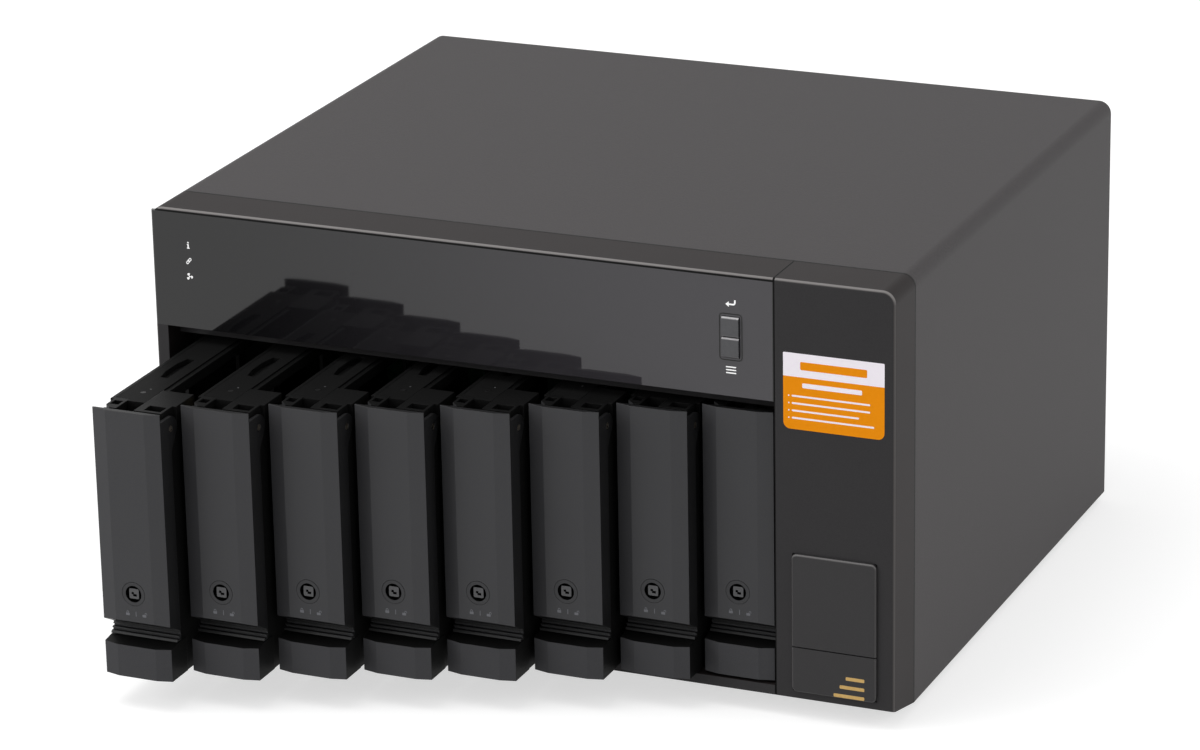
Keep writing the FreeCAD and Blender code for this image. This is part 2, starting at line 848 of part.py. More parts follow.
# ---------------------------------------------------------------- trays
PIN_FLATS = 12
WELL_FLATS = 16
GRIP_RIBS = 3
TRAY_WINDOWS = 3
BLEND_ANGLES = (0, 0.41, 0.81)


def handle_profile():
    """Side view of the handle: plate, chin, finger grip and rear edge."""
    side_head = pin_level + "knuckle_radius"
    back = size("handle_side")
    return [(0, handle_foot), ("chin_depth", chin_foot), ("grip_depth", grip_foot),
            (back, grip_foot), (back, pin_level - "knuckle_radius"), (back, side_head),
            ("handle_gauge", side_head), ("handle_gauge", handle_head), (0, handle_head)]


def facet_wedges():
    """Corner wedges that leave the two slanted facets of the front."""
    half = handle_width / 2
    flat = size("facet_flat") / 2
    wedges = []
    for side in (-1, 1):
        wedges.append(polygon((half * side, -1), (half * side, "facet_drop"), (flat * side, 0),
                              (flat * side, -1)))
    return wedges


def make_tray_handle():
    """Hinged front of a tray: faceted plate, side walls with knuckles and finger grip."""
    body = new_body("tray_handle")
    half = handle_width / 2
    inner = half - "handle_wall"
    pad(body, "Profile", "YZ_Plane", -half, half, polygon(*handle_profile()))
    knuckle = circle(("pin_depth", pin_level), "knuckle_radius")
    pad(body, "Knuckles", "YZ_Plane", -half, half, knuckle)
    back = size("handle_side").number
    soften(body, "Fillet", "KnuckleBlend", "knuckle_blend",
           lambda box: box.XLength > 10 and near(box.YMin, back) and box.YLength < 0.01
           and box.ZMin > pin_level.number - 6 and box.ZMax < pin_level.number - 1)
    pocket(body, "Facets", "XY_Plane", grip_foot, handle_head, *facet_wedges())
    lump = handle_foot + size("handle_gauge") / 2
    floor = chin_foot + "handle_gauge"
    reach = size("handle_side") + "cavity_reach"
    pocket(body, "Cavity", "YZ_Plane", -inner, inner,
           polygon(("handle_gauge", lump), (reach, floor), (reach, handle_head + 1),
                   ("handle_gauge", handle_head + 1)))
    pocket(body, "PinBore", "YZ_Plane", -half, half,
           flats((size("pin_depth"), pin_level), size("pin_radius") + "pin_fit", PIN_FLATS))
    pocket(body, "LockBore", "XZ_Plane", 0, "handle_gauge",
           circle((0, lock_level), size("lock_radius") + "lock_fit"))
    run = (size("chin_depth") - "grip_depth") / GRIP_RIBS
    pitch = (chin_foot - grip_foot) / GRIP_RIBS
    tall = size("groove_height") / 2
    for step in range(1, GRIP_RIBS):
        level = grip_foot + pitch * step
        depth = size("grip_depth") + run * step
        pocket(body, "GripGroove", "YZ_Plane", -half, half,
               polygon((depth - 2, level - tall), (depth + "groove_depth", level - tall),
                       (depth + "groove_depth", level + tall), (depth - 2, level + tall)))
    return body


def make_tray_frame():
    """Moulded tray: faceted foot block, hinge ears with pivots, brow, base wall and rails."""
    body = new_body("tray_frame")
    half = tray_width / 2
    wide = handle_width / 2
    inner = half - "cheek_gauge"
    cheek_front = size("handle_side") + "swing_gap"
    web_back = size("web_depth") + "web_gauge"
    head, foot = tray_head, block_foot
    both = head + foot
    floor = both - rail_foot
    pad(body, "Head", "YZ_Plane", -half, half,
        rectangle((cheek_front, foot), ("head_length", head)))
    pad(body, "FootBlock", "YZ_Plane", -wide, wide,
        polygon((0, foot), (web_back, foot), (web_back, shelf_back),
                ("grip_depth", shelf_back), (0, block_head)))
    pocket(body, "Facets", "XY_Plane", foot, shelf_back, *facet_wedges())
    pocket(body, "Mouth", "YZ_Plane", -inner, inner,
           rectangle((cheek_front - 1, shelf_back), ("web_depth", rail_foot)))
    pocket(body, "Inside", "YZ_Plane", -inner, inner,
           rectangle((web_back, floor), (size("head_length") + 1, rail_foot)))
    pocket(body, "BlockHollow", "YZ_Plane", -inner, inner,
           rectangle(("handle_gauge", foot + "cheek_gauge"),
                     (web_back + 1, block_head - "cheek_gauge")))
    pad(body, "Brow", "YZ_Plane", -inner, inner,
        rectangle(("brow_depth", rail_foot), (size("head_length") / 2, head)))
    soften(body, "Chamfer", "BrowCorner", "brow_chamfer",
           lambda box: lies_on(box.XMin, box.XMax, -inner)
           and lies_on(box.YMin, box.YMax, "brow_depth") and near(box.ZMax, head))
    notch = pocket(body, "KnuckleNotch", "YZ_Plane", inner, wide,
                   circle(("pin_depth", pin_level), size("knuckle_radius") + "swing_gap"))
    mirror(body, "KnuckleNotches", "YZ_Plane", notch)
    crown = pocket(body, "CheekCrown", "YZ_Plane", inner, wide,
                   rectangle((cheek_front - 1, pin_level),
                             (size("pin_depth") + "knuckle_radius" + "swing_gap", head + 1)))
    mirror(body, "CheekCrowns", "YZ_Plane", crown)
    reach = size("knuckle_radius") + "swing_gap"
    blend = size("knuckle_blend") - "swing_gap"
    rise = chord(size("knuckle_radius") + "knuckle_blend",
                 size("knuckle_blend") - (size("pin_depth") - "handle_side"))
    arc = [(cheek_front + blend * (1 - math.cos(angle)), pin_level - rise + blend * math.sin(angle))
           for angle in BLEND_ANGLES]
    corner = pocket(body, "CheekBlend", "YZ_Plane", inner, wide,
                    polygon((cheek_front - 1, pin_level - rise), *arc,
                            ("pin_depth", pin_level), (cheek_front - 1, pin_level)))
    mirror(body, "CheekBlends", "YZ_Plane", corner)
    ear_in = inner - "ear_gauge"
    axle = size("pin_depth")
    ear = size("ear_radius")
    snub = ear / 2
    arm = pad(body, "Ear", "YZ_Plane", ear_in, inner,
              polygon((axle - snub, pin_level - ear), (web_back, pin_level - ear),
                      (web_back, pin_level + ear), (axle - snub, pin_level + ear),
                      (axle - ear, pin_level + snub), (axle - ear, pin_level - snub)))
    mirror(body, "Ears", "YZ_Plane", arm)
    pivot = pad(body, "Pivot", "YZ_Plane", inner, wide - size("pin_fit") * 2,
                flats((axle, pin_level), size("pin_radius") * math.cos(math.pi / PIN_FLATS),
                      PIN_FLATS))
    mirror(body, "Pivots", "YZ_Plane", pivot)
    length = size("tray_length")
    rail_right = -half + "rail_width"
    lip = rail_right - "lip_width"
    lip_head = head - "lip_drop"
    base = -half + "base_gauge"
    low_seat = both - rail_head
    pad(body, "Pan", "XZ_Plane", axle + reach, length,
        polygon((-half, foot), (base, foot), (base, low_seat), (lip, low_seat),
                (lip, both - lip_head), (rail_right, both - lip_head), (rail_right, floor),
                (base, floor), (base, rail_foot), (rail_right, rail_foot),
                (rail_right, lip_head), (lip, lip_head), (lip, rail_head),
                (base, rail_head), (base, head), (-half, head)))
    slot_end = size("head_length") + 1
    pocket(body, "StripSeats", "XZ_Plane", "strip_start", slot_end,
           rectangle((base, rail_head), (lip, head + 1)),
           rectangle((base, foot - 1), (lip, low_seat)))
    tab_left = -half + "tab_left" - "strip_gap"
    brow = size("brow_depth")
    start = size("strip_start")
    rim = size("brow_rim")
    pocket(body, "BrowRecesses", "XY_Plane", tab_floor, head + 1,
           rectangle((tab_left, brow), (lip, start + size("strip_gap") * 2)),
           rectangle((-inner + rim, brow + "brow_step"), (tab_left - rim, start - rim * 2.5)),
           rectangle((lip + rim * 3, brow + "brow_land"), (inner - rim, start - "brow_step")))
    peg_line = (lip + base) / 2
    spots = []
    for depth in peg_depths():
        half_peg = size("peg_width") / 2 + "strip_gap"
        spots.append(rectangle((peg_line - half_peg, depth - half_peg),
                               (peg_line + half_peg, depth + half_peg)))
    pocket(body, "PegHolesTop", "XY_Plane", rail_foot, rail_head, *spots)
    pocket(body, "PegHolesFoot", "XY_Plane", low_seat, floor, *spots)
    opening = size("head_length") + "window_start"
    pitch = (length - opening - "window_end") / TRAY_WINDOWS
    closing = opening + pitch - "window_rib"
    low = floor + "window_inset"
    high = rail_foot - "window_inset"
    window = pocket(body, "Window", "YZ_Plane", -half, base,
                    rectangle((opening, low), (closing, low + "window_height")),
                    rectangle((opening, high - "window_height"), (closing, high)))
    repeat(body, "Windows", "Y_Axis", window, TRAY_WINDOWS, pitch)
    return body


def peg_depths():
    return [size("strip_start") + step for step in ("peg_first", "peg_second", "peg_third")]


def make_tray_strips():
    """Two clip-on strips that hold a drive without tools, top and bottom."""
    half = tray_width / 2
    left = -half + "base_gauge" + "strip_gap"
    right = -half + "rail_width" - "lip_width" - "strip_gap"
    start = size("strip_start") + "strip_gap"
    both = tray_head + block_foot
    finger = size("finger_start")
    finger_end = finger + "finger_length"
    finger_left = -half + "finger_left"
    finger_right = finger_left + "finger_width"
    slim = finger_left + size("finger_width") * 0.3
    slope = size("finger_slope")
    centre = (left + right) / 2
    reach = size("peg_width") / 2
    pegs = [rectangle((centre - reach, depth - reach), (centre + reach, depth + reach))
            for depth in peg_depths()]
    strips = []
    for name, low, high, peg_low, peg_high in (
            ("TopStrip", rail_head, tray_head, rail_foot, rail_head),
            ("BottomStrip", block_foot, both - rail_head, both - rail_head, both - rail_foot)):
        body = new_body(name)
        pad(body, "Strip", "XY_Plane", low, high,
            rectangle((left, start), (right, start + "strip_length")))
        pocket(body, "FingerOpening", "XY_Plane", low, high,
               polygon((finger_left, finger + slope), (finger_left, finger_end - slope),
                       (slim, finger_end), (finger_right, finger_end), (finger_right, finger),
                       (slim, finger)))
        pad(body, "Pegs", "XY_Plane", peg_low, peg_high, *pegs)
        strips.append(body)
    pad(strips[0], "Tab", "XY_Plane", tab_floor + "strip_gap", tray_head,
        rectangle((-half + "tab_left", start - "tab_reach"), (right, start)))
    return group("tray_strips", strips)


def make_tray_lock():
    """Quarter-turn key lock: barrel with a sunk key socket, and a cam behind it."""
    body = new_body("tray_lock")
    level = lock_level
    centre = (size(0), level)
    floor = size("lock_length") - "lock_floor"
    pad(body, "Barrel", "XZ_Plane", 0, "lock_length", circle(centre, "lock_radius"))
    pocket(body, "Well", "XZ_Plane", 0, floor, flats(centre, "lock_bore", WELL_FLATS))
    half = size("key_width") / 2
    pad(body, "KeySocket", "XZ_Plane", "key_sink", floor,
        rectangle((-half, level - half), (half, level + half)))
    slim = size("keyway_width") / 2
    pocket(body, "Keyway", "XZ_Plane", "key_sink", floor,
           polygon((-slim * 2, level - slim), (-slim, level - slim), (-slim, level - slim * 2),
                   (slim * 2, level - slim * 2), (slim * 2, level + slim * 2),
                   (-slim * 2, level + slim * 2)))
    half = size("cam_width") / 2
    back = size("lock_length") + "cam_gauge"
    pad(body, "Cam", "XZ_Plane", "lock_length", back,
        rectangle((-half, level - half), (half, level + "cam_reach")))
    return body


def tray_centre(bay):
    """Middle of a bay, counted from 1 at the left."""
    last = column_left - "last_tray" - handle_width / 2
    return last - tray_pitch * (TRAYS - bay)


def clone_of(master, label, x, y):
    """A copy of a finished body that follows its master."""
    body = doc.addObject("PartDesign::Body", "Copy")
    body.Label = label
    copy = body.newObject("PartDesign::FeatureBase", "CopyBase")
    copy.BaseFeature = master
    body.Tip = copy
    return finish(body, x, y)


def compound_of(masters, label, x, y):
    """A copy of a group of separate solids."""
    bundle = doc.addObject("Part::Compound", "Copy")
    bundle.Label = label
    bundle.Links = masters
    return finish(bundle, x, y)


def make_trays():
    handle = make_tray_handle()
    frame = make_tray_frame()
    lock = make_tray_lock()
    strips = make_tray_strips()
    for bay, pull in enumerate(PULLS, start=1):
        x, y = tray_centre(bay), front - pull
        clone_of(frame, "tray_frame_%d" % bay, x, y)
        clone_of(handle, "tray_handle_%d" % bay, x, y)
        clone_of(lock, "tray_lock_%d" % bay, x, y)
        compound_of([strips], "tray_strips_%d" % bay, x, y)


# ---------------------------------------------------------------- inside the case
def cage_sheet(name, right, low, high, rib_low, rib_high):
    """Sheet across the bays with a guide for each tray."""
    half = size("guide_width") / 2
    first = tray_centre(1) - tray_pitch / 2
    body = new_body(name)
    pad(body, "Sheet", "XY_Plane", low, high,
        rectangle((bay_left, bezel_back), (right, backplane_face)))
    guide = pad(body, "Guide", "XY_Plane", rib_low, rib_high,
                rectangle((first - half, bezel_back + "guide_inset"),
                          (first + half, backplane_face)))
    repeat(body, "Guides", "X_Axis", guide, TRAYS, tray_pitch)
    return body


def make_drive_cage():
    """Floor with tray guides between two side sheets, and a roof riveted between them."""
    right = column_left - "seam_gap"
    tall = size("guide_height")
    head = cage_roof + gauge
    floor = cage_sheet("CageFloor", right, cage_floor - gauge, cage_floor,
                       cage_floor, cage_floor + tall)
    sides = [block("CageLeft", (bay_left - gauge, bezel_back, gauge * 2),
                   (bay_left, backplane_face, head)),
             block("CageRight", (right, bezel_back, gauge * 2),
                   (right + gauge, backplane_face, head))]
    finish(group("drive_cage", [floor] + sides))
    finish(cage_sheet("cage_roof", right, cage_roof, head, cage_roof - tall, cage_roof))


def make_backplane():
    """Board across the back of the bays with a drive socket and an air window for each."""
    face = backplane_face
    body = new_body("BackplaneBoard")
    left = bay_left - gauge
    right = column_left - "seam_gap" + gauge
    pad(body, "Board", "XZ_Plane", face, face + "board_gauge",
        polygon((left, "backplane_foot"), (right, "backplane_foot"), (right, host_foot),
                (host_left + "board_gauge", host_foot),
                (host_left + "board_gauge", backplane_head), (left, backplane_head)))
    first = tray_centre(1)
    half = size("vent_width") / 2
    socket_head = size("socket_foot") + "socket_height"
    vent_foot = socket_head + "vent_foot"
    window = pocket(body, "AirWindow", "XZ_Plane", face, face + "board_gauge",
                    rectangle((first - half, vent_foot),
                              (first + half, vent_foot + "vent_height")))
    repeat(body, "AirWindows", "X_Axis", window, TRAYS, tray_pitch)
    pieces = [body]
    for bay in range(1, TRAYS + 1):
        left = tray_centre(bay) + "socket_offset"
        pieces.append(block("DriveSocket", (left, face - "socket_gauge", "socket_foot"),
                            (left + "socket_width", face, socket_head)))
    return finish(group("backplane_board", pieces))


def make_fan_frames():
    """Two square fan housings with a bored duct, four struts and a spindle."""
    start = panel_inner - "fan_gauge"
    half = size("fan_width") / 2
    frames = []
    for name, side in (("LeftFanFrame", -1), ("RightFanFrame", 1)):
        body = new_body(name)
        centre = (fan_centre(side), fan_level)
        x, z = centre
        pad(body, "Housing", "XZ_Plane", start, panel_inner,
            rectangle((x - half, z - half), (x + half, z + half)))
        soften(body, "Chamfer", "Corners", "fan_round",
               lambda box: box.YLength > 10 and box.XLength < 0.01)
        pocket(body, "Duct", "XZ_Plane", start, panel_inner, circle(centre, fan_radius))
        back = panel_inner - "strut_gauge"
        slim = size("strut_width") / 2
        reach = fan_radius + size("fan_rim") / 2
        pad(body, "UprightStrut", "XZ_Plane", back, panel_inner,
            rectangle((x - slim, z - reach), (x + slim, z + reach)))
        pad(body, "LevelStrut", "XZ_Plane", back, panel_inner,
            rectangle((x - reach, z - slim), (x + reach, z + slim)))
        pad(body, "Motor", "XZ_Plane", back, panel_inner, circle(centre, "fan_hub"))
        spindle_start = start + "rotor_gap" + "rotor_cap" + "rotor_gap"
        pad(body, "Spindle", "XZ_Plane", spindle_start, back, circle(centre, "spindle_radius"))
        frames.append(body)
    return finish(group("fan_frames", frames))


def make_rotor(label, centre, start, end, hub, tip, bore, bore_start, bore_end):
    """Hub with a blind bore and cambered blades that reach to the duct."""
    body = new_body(label)
    pad(body, "Hub", "XZ_Plane", start, end, circle((0, 0), hub))
    middle = (start + end) / 2
    run = (end - start) / 2 - "blade_gauge"
    lean = run * 0.6
    half = size("blade_gauge") / 2
    camber = size("blade_gauge")
    blade = pad(body, "Blade", "YZ_Plane", hub - "blade_gauge", chord(tip, lean + half),
                polygon((middle - run, -lean - half), (middle, camber - half),
                        (middle + run, lean - half), (middle + run, lean + half),
                        (middle, camber + half), (middle - run, -lean + half)))
    ring = body.newObject("PartDesign::PolarPattern", "Blades")
    ring.Originals = [blade]
    axis = [item for item in body.Origin.OriginFeatures if item.Role == "Y_Axis"][0]
    ring.Axis = (axis, [""])
    ring.Angle = 360
    bind(ring, "Occurrences", "blade_count")
    body.Tip = ring
    doc.recompute()
    pocket(body, "Bore", "XZ_Plane", bore_start, bore_end, circle((0, 0), bore))
    finish(body, centre[0])
    bind(body, "Placement.Base.z", size("foot_height") + centre[1])
    return body


def make_fan_rotors():
    start = panel_inner - "fan_gauge" + "rotor_gap"
    end = panel_inner - size("strut_gauge") - "rotor_gap"
    bore = size("spindle_radius") + "spindle_fit"
    for side, label in ((-1, "fan_rotor_left"), (1, "fan_rotor_right")):
        make_rotor(label, (fan_centre(side), fan_level), start, end, size("fan_hub"),
                   fan_radius - "fan_tip_gap", bore, start + "rotor_cap", end)


def supply_centre():
    return column_middle - "supply_shift"


def supply_radius():
    return size("supply_width") / 2 - "supply_rim"


def make_power_supply():
    """Slim power supply with its fan well and the seat of its inlet."""
    body = new_body("power_supply")
    start = panel_inner - "supply_length"
    pad(body, "Case", "XZ_Plane", start, panel_inner,
        rectangle((supply_left, supply_foot), (supply_left + "supply_width", supply_head)))
    well = panel_inner - "supply_fan_depth"
    fan = (supply_centre(), supply_foot + "supply_fan_level")
    pocket(body, "FanWell", "XZ_Plane", well, panel_inner, circle(fan, supply_radius()))
    spindle_end = panel_inner - size("rotor_gap") * 3 - "rotor_cap"
    pad(body, "FanSpindle", "XZ_Plane", well, spindle_end, circle(fan, "supply_spindle"))
    half = size("inlet_width") / 2
    tall = size("inlet_height") / 2
    level = supply_foot + "inlet_level"
    x = supply_centre()
    pocket(body, "InletSeat", "XZ_Plane", panel_inner - "inlet_depth", panel_inner,
           rectangle((x - half, level - tall), (x + half, level + tall)))
    return finish(body)


def make_supply_rotor():
    start = panel_inner - "supply_fan_depth" + "rotor_gap"
    end = panel_inner - size("rotor_gap") * 2
    bore = size("supply_spindle") + "spindle_fit"
    make_rotor("psu_fan_rotor", (supply_centre(), supply_foot + "supply_fan_level"), start, end,
               size("supply_hub"), supply_radius() - size("fan_tip_gap") / 2, bore,
               start, end - "rotor_cap")


def make_ac_inlet():
    """Panel inlet: rim, open socket and three flat pins."""
    body = new_body("AcInlet")
    x = supply_centre()
    level = supply_foot + "inlet_level"
    half = size("inlet_width") / 2 - "strip_gap"
    tall = size("inlet_height") / 2 - "strip_gap"
    deep = panel_inner - size("inlet_depth") + "strip_gap"
    rim = size("inlet_rim")
    pad(body, "Barrel", "XZ_Plane", deep, panel_inner,
        rectangle((x - half, level - tall), (x + half, level + tall)))
    pad(body, "Rim", "XZ_Plane", panel_inner, panel_outer + rim / 2,
        rectangle((x - half - rim, level - tall - rim), (x + half + rim, level + tall + rim)))
    wall = size("inlet_wall")
    mouth = panel_outer + rim / 2
    pocket(body, "Socket", "XZ_Plane", deep + wall, mouth,
           polygon((x - half + wall, level - tall + wall), (x + half - wall, level - tall + wall),
                   (x + half - wall, level + tall - wall * 3),
                   (x + half - wall * 3, level + tall - wall),
                   (x - half + wall * 3, level + tall - wall),
                   (x - half + wall, level + tall - wall * 3)))
    pieces = [body]
    pin_front = panel_inner - rim * 2.5
    for step in (-1, 0, 1):
        left = x + size("pin_pitch") * step - size("pin_gauge") / 2
        low = level - size("blade_pin") / 2 - size("pin_gauge") / 2
        if step == 0:
            low = low + "pin_step"
        pieces.append(block("InletPin", (left, deep + wall, low),
                            (left + "pin_gauge", pin_front, low + "blade_pin")))
    return finish(group("ac_inlet", pieces))


def make_host_board():
    """Upright board in the side column with two cable ports through the rear panel."""
    back = backplane_face + "board_gauge"
    left = host_left
    end = panel_inner - "flange_width" - "board_gap"
    pieces = [block("HostBoard", (left, back, host_foot),
                    (left + "board_gauge", end, top - "host_board_head"))]
    edge = size("flange_width")
    pieces.append(block("EdgeConnector", (left - edge / 2, back, host_foot + edge),
                        (left, back + edge, backplane_head - edge / 2)))
    for level in (0, 1):
        body = new_body("CablePort%d" % (level + 1))
        (x0, z0), (x1, z1) = port_corners(level)
        mouth = panel_outer + "port_gap"
        pad(body, "Cage", "XZ_Plane", back + edge + "port_inset", mouth,
            rectangle((x0, z0), (x1, z1)))
        wall = size("port_wall")
        pocket(body, "Socket", "XZ_Plane", mouth - "port_socket", mouth,
               rectangle((x0 + wall, z0 + wall), (x1 - wall, z1 - wall)))
        pieces.append(body)
    return finish(group("host_board", pieces))


def make_feet():
    """Four round rubber feet stuck under the pan."""
    inset = half_width - "foot_inset"
    pads = []
    for x in (-inset, inset):
        for y in (cover_front + "foot_inset", rear - "foot_inset"):
            pads.append(rod("Foot", (x, y), "foot_radius", -size("foot_height"), gauge, "Z"))
    return finish(group("feet", pads))


make_case_cover()
make_base_pan()
make_rear_panel()
make_front_bezel()
make_column_bezel()
make_column_plates()
make_display_panel()
make_button("enter_button", False)
make_button("select_button", True)
make_front_board()
make_trays()
make_drive_cage()
make_backplane()
make_fan_frames()
make_fan_rotors()
make_power_supply()
make_supply_rotor()
make_ac_inlet()
make_host_board()
make_feet()
doc.recompute()

for item in doc.Objects:
    if "Invalid" in item.State or "Error" in item.State:
        raise RuntimeError("%s (%s) failed: %s" % (item.Name, item.Label, item.State))
for node in nodes:
    if node.Shape.isNull() or not node.Shape.isValid() or not node.Shape.Solids:
        raise RuntimeError("%s has no valid shape" % node.Label)

os.makedirs("parts", exist_ok=True)
for node in nodes:
    node.Shape.exportStep("parts/%s.step" % node.Label)
print("%d nodes written" % len(nodes))
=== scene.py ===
import math
import bmesh
import bpy
from mathutils import Matrix, Vector


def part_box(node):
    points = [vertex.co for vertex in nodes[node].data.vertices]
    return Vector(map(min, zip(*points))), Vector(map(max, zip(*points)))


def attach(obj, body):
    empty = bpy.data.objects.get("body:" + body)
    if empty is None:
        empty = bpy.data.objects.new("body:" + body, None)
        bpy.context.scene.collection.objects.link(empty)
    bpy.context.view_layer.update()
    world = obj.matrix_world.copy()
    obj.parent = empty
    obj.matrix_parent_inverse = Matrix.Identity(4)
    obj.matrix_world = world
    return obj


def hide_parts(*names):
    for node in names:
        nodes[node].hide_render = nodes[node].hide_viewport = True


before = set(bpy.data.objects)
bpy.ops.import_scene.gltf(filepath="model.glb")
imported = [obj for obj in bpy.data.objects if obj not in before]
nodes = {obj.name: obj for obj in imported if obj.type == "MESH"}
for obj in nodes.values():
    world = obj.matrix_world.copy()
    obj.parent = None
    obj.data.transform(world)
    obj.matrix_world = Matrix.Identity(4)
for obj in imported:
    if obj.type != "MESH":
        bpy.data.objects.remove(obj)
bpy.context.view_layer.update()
bays = range(1, 1 + sum(1 for name in nodes if name.startswith("tray_frame_")))
print("frame loaded:", len(nodes), "nodes,", len(bays), "trays")

mm = 0.001

# places that the looks are measured from
coverLow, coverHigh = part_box("case_cover")
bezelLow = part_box("front_bezel")[0]
columnLow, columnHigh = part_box("column_bezel")
panelLow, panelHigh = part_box("display_panel")
platesLow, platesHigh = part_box("column_plates")
rearLow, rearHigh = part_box("rear_panel")
selectLow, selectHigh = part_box("select_button")
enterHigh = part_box("enter_button")[1]
caseMiddle = Vector((0, (bezelLow[1] + coverHigh[1]) / 2, coverLow[2]))


def addObject(name, data):
    thing = bpy.data.objects.new(name, data)
    bpy.context.scene.collection.objects.link(thing)
    return thing


cameraLook = {"azimuth": 23.462, "elevation": 19.585, "roll": -1.089, "distance": 2.149298,
              "aside": -0.022202, "aloft": 0.077649, "lens": 146.238, "sensor": 36.0, "reach": 60}


def makeCamera(look):
    az, el, roll = (math.radians(look[key]) for key in ("azimuth", "elevation", "roll"))
    back = Vector((math.sin(az) * math.cos(el), -math.cos(az) * math.cos(el), math.sin(el)))
    right = Vector((math.cos(az), math.sin(az), 0))
    up = back.cross(right)
    turnedRight = right * math.cos(roll) + up * math.sin(roll)
    turnedUp = up * math.cos(roll) - right * math.sin(roll)
    place = (caseMiddle + back * look["distance"] + turnedRight * look["aside"]
             + turnedUp * look["aloft"])
    data = bpy.data.cameras.new("view")
    data.lens = look["lens"]
    data.sensor_width = look["sensor"]
    data.clip_end = look["reach"]
    camera = addObject("view", data)
    turn = Matrix((turnedRight, turnedUp, back)).transposed().to_4x4()
    camera.matrix_world = Matrix.Translation(place) @ turn
    bpy.context.scene.camera = camera


makeCamera(cameraLook)


# a node with its settings and unlinked inputs, where From_Min stands for the input From Min
def addNode(tree, kind, **values):
    node = tree.nodes.new(kind)
    for name, value in values.items():
        if hasattr(node, name):
            setattr(node, name, value)
        else:
            node.inputs[name.replace("_", " ")].default_value = value
    return node


def join(tree, source, output, target, entry):
    tree.links.new(source.outputs[output], target.inputs[entry])


# an input takes another node's output or a plain value
def feed(tree, source, entry):
    if isinstance(source, bpy.types.NodeSocket):
        tree.links.new(source, entry)
    else:
        entry.default_value = source


mixSockets = {"FLOAT": (2, 3, 0), "RGBA": (6, 7, 2)}  # first, second and result of a Mix node


def mixed(tree, kind, share, first, second):
    node = addNode(tree, "ShaderNodeMix", data_type=kind)
    firstEntry, secondEntry, result = mixSockets[kind]
    feed(tree, share, node.inputs[0])
    feed(tree, first, node.inputs[firstEntry])
    feed(tree, second, node.inputs[secondEntry])
    return node.outputs[result]


def worked(tree, operation, *sources):
    node = addNode(tree, "ShaderNodeMath", operation=operation)
    for source, entry in zip(sources, node.inputs):
        feed(tree, source, entry)
    return node.outputs[0]


# x, y and z of the Object coordinates or of the surface Normal
def addAxes(tree, output):
    place = addNode(tree, "ShaderNodeTexCoord")
    axes = addNode(tree, "ShaderNodeSeparateXYZ")
    join(tree, place, output, axes, "Vector")
    return axes


def newGroup(name, takes, gives):
    group = bpy.data.node_groups.new(name, "ShaderNodeTree")
    for label, kind, value in takes:
        socket = group.interface.new_socket(label, in_out="INPUT", socket_type=kind)
        socket.default_value = value
    for label, kind in gives:
        group.interface.new_socket(label, in_out="OUTPUT", socket_type=kind)
    return group, group.nodes.new("NodeGroupInput"), group.nodes.new("NodeGroupOutput")


# grain of a moulded or coated surface, fine over broad
def makeGrainGroup():
    takes = [("Scale", "NodeSocketFloat", 1500.0), ("Spread", "NodeSocketFloat", 0.5),
             ("Dark", "NodeSocketColor", (0.03, 0.03, 0.03, 1)),
             ("Light", "NodeSocketColor", (0.05, 0.05, 0.05, 1)),
             ("Smooth", "NodeSocketFloat", 0.4), ("Rough", "NodeSocketFloat", 0.55)]
    gives = [("Color", "NodeSocketColor"), ("Roughness", "NodeSocketFloat"),
             ("Height", "NodeSocketFloat")]
    group, entry, end = newGroup("fineGrain", takes, gives)
    place = addNode(group, "ShaderNodeTexCoord")
    fine = addNode(group, "ShaderNodeTexNoise", Detail=3.0, Roughness=0.6)
    broad = addNode(group, "ShaderNodeTexNoise", Scale=38.0, Detail=4.0, Roughness=0.55)
    join(group, place, "Object", fine, "Vector")
    join(group, place, "Object", broad, "Vector")
    join(group, entry, "Scale", fine, "Scale")
    spread = addNode(group, "ShaderNodeMapRange", From_Min=0.3, From_Max=0.7)
    join(group, fine, "Fac", spread, "Value")
    given = entry.outputs
    weigh = mixed(group, "FLOAT", given["Spread"], broad.outputs["Fac"], spread.outputs["Result"])
    tint = mixed(group, "RGBA", weigh, given["Dark"], given["Light"])
    shine = mixed(group, "FLOAT", weigh, given["Smooth"], given["Rough"])
    feed(group, tint, end.inputs["Color"])
    feed(group, shine, end.inputs["Roughness"])
    join(group, fine, "Fac", end, "Height")
    return group


# 1 on surfaces that face the front and lie below a level, 0 elsewhere
def makeFaceGroup():
    takes = [("Level", "NodeSocketFloat", 1.0)]
    group, entry, end = newGroup("frontFaces", takes, [("Mask", "NodeSocketFloat")])
    turned = addNode(group, "ShaderNodeMapRange", From_Min=-0.9, From_Max=-0.94)
    join(group, addAxes(group, "Normal"), "Y", turned, "Value")
    height = addAxes(group, "Object").outputs["Z"]
    below = worked(group, "LESS_THAN", height, entry.outputs["Level"])
    feed(group, worked(group, "MULTIPLY", turned.outputs["Result"], below), end.inputs["Mask"])
    return group


# painted highlight mask: 1 on the small roundings from front to top, Side on those to the sides and
# below, 0 elsewhere
def makeRimHighlightGroup():
    group, entry, end = newGroup("frontRims", [("Side", "NodeSocketFloat", 0.3)],
                                 [("Mask", "NodeSocketFloat")])
    facing = addAxes(group, "Normal")
    terms = []
    for axis, none, full in (("Y", -0.97, -0.8), ("Y", -0.15, -0.4), ("Z", -0.1, 0.35)):
        term = addNode(group, "ShaderNodeMapRange", From_Min=none, From_Max=full)
        join(group, facing, axis, term, "Value")
        terms.append(term)
    notFront, notTop, upward = terms
    join(group, entry, "Side", upward, "To Min")
    rounded = worked(group, "MULTIPLY", notFront.outputs["Result"], notTop.outputs["Result"])
    feed(group, worked(group, "MULTIPLY", rounded, upward.outputs["Result"]), end.inputs["Mask"])
    return group


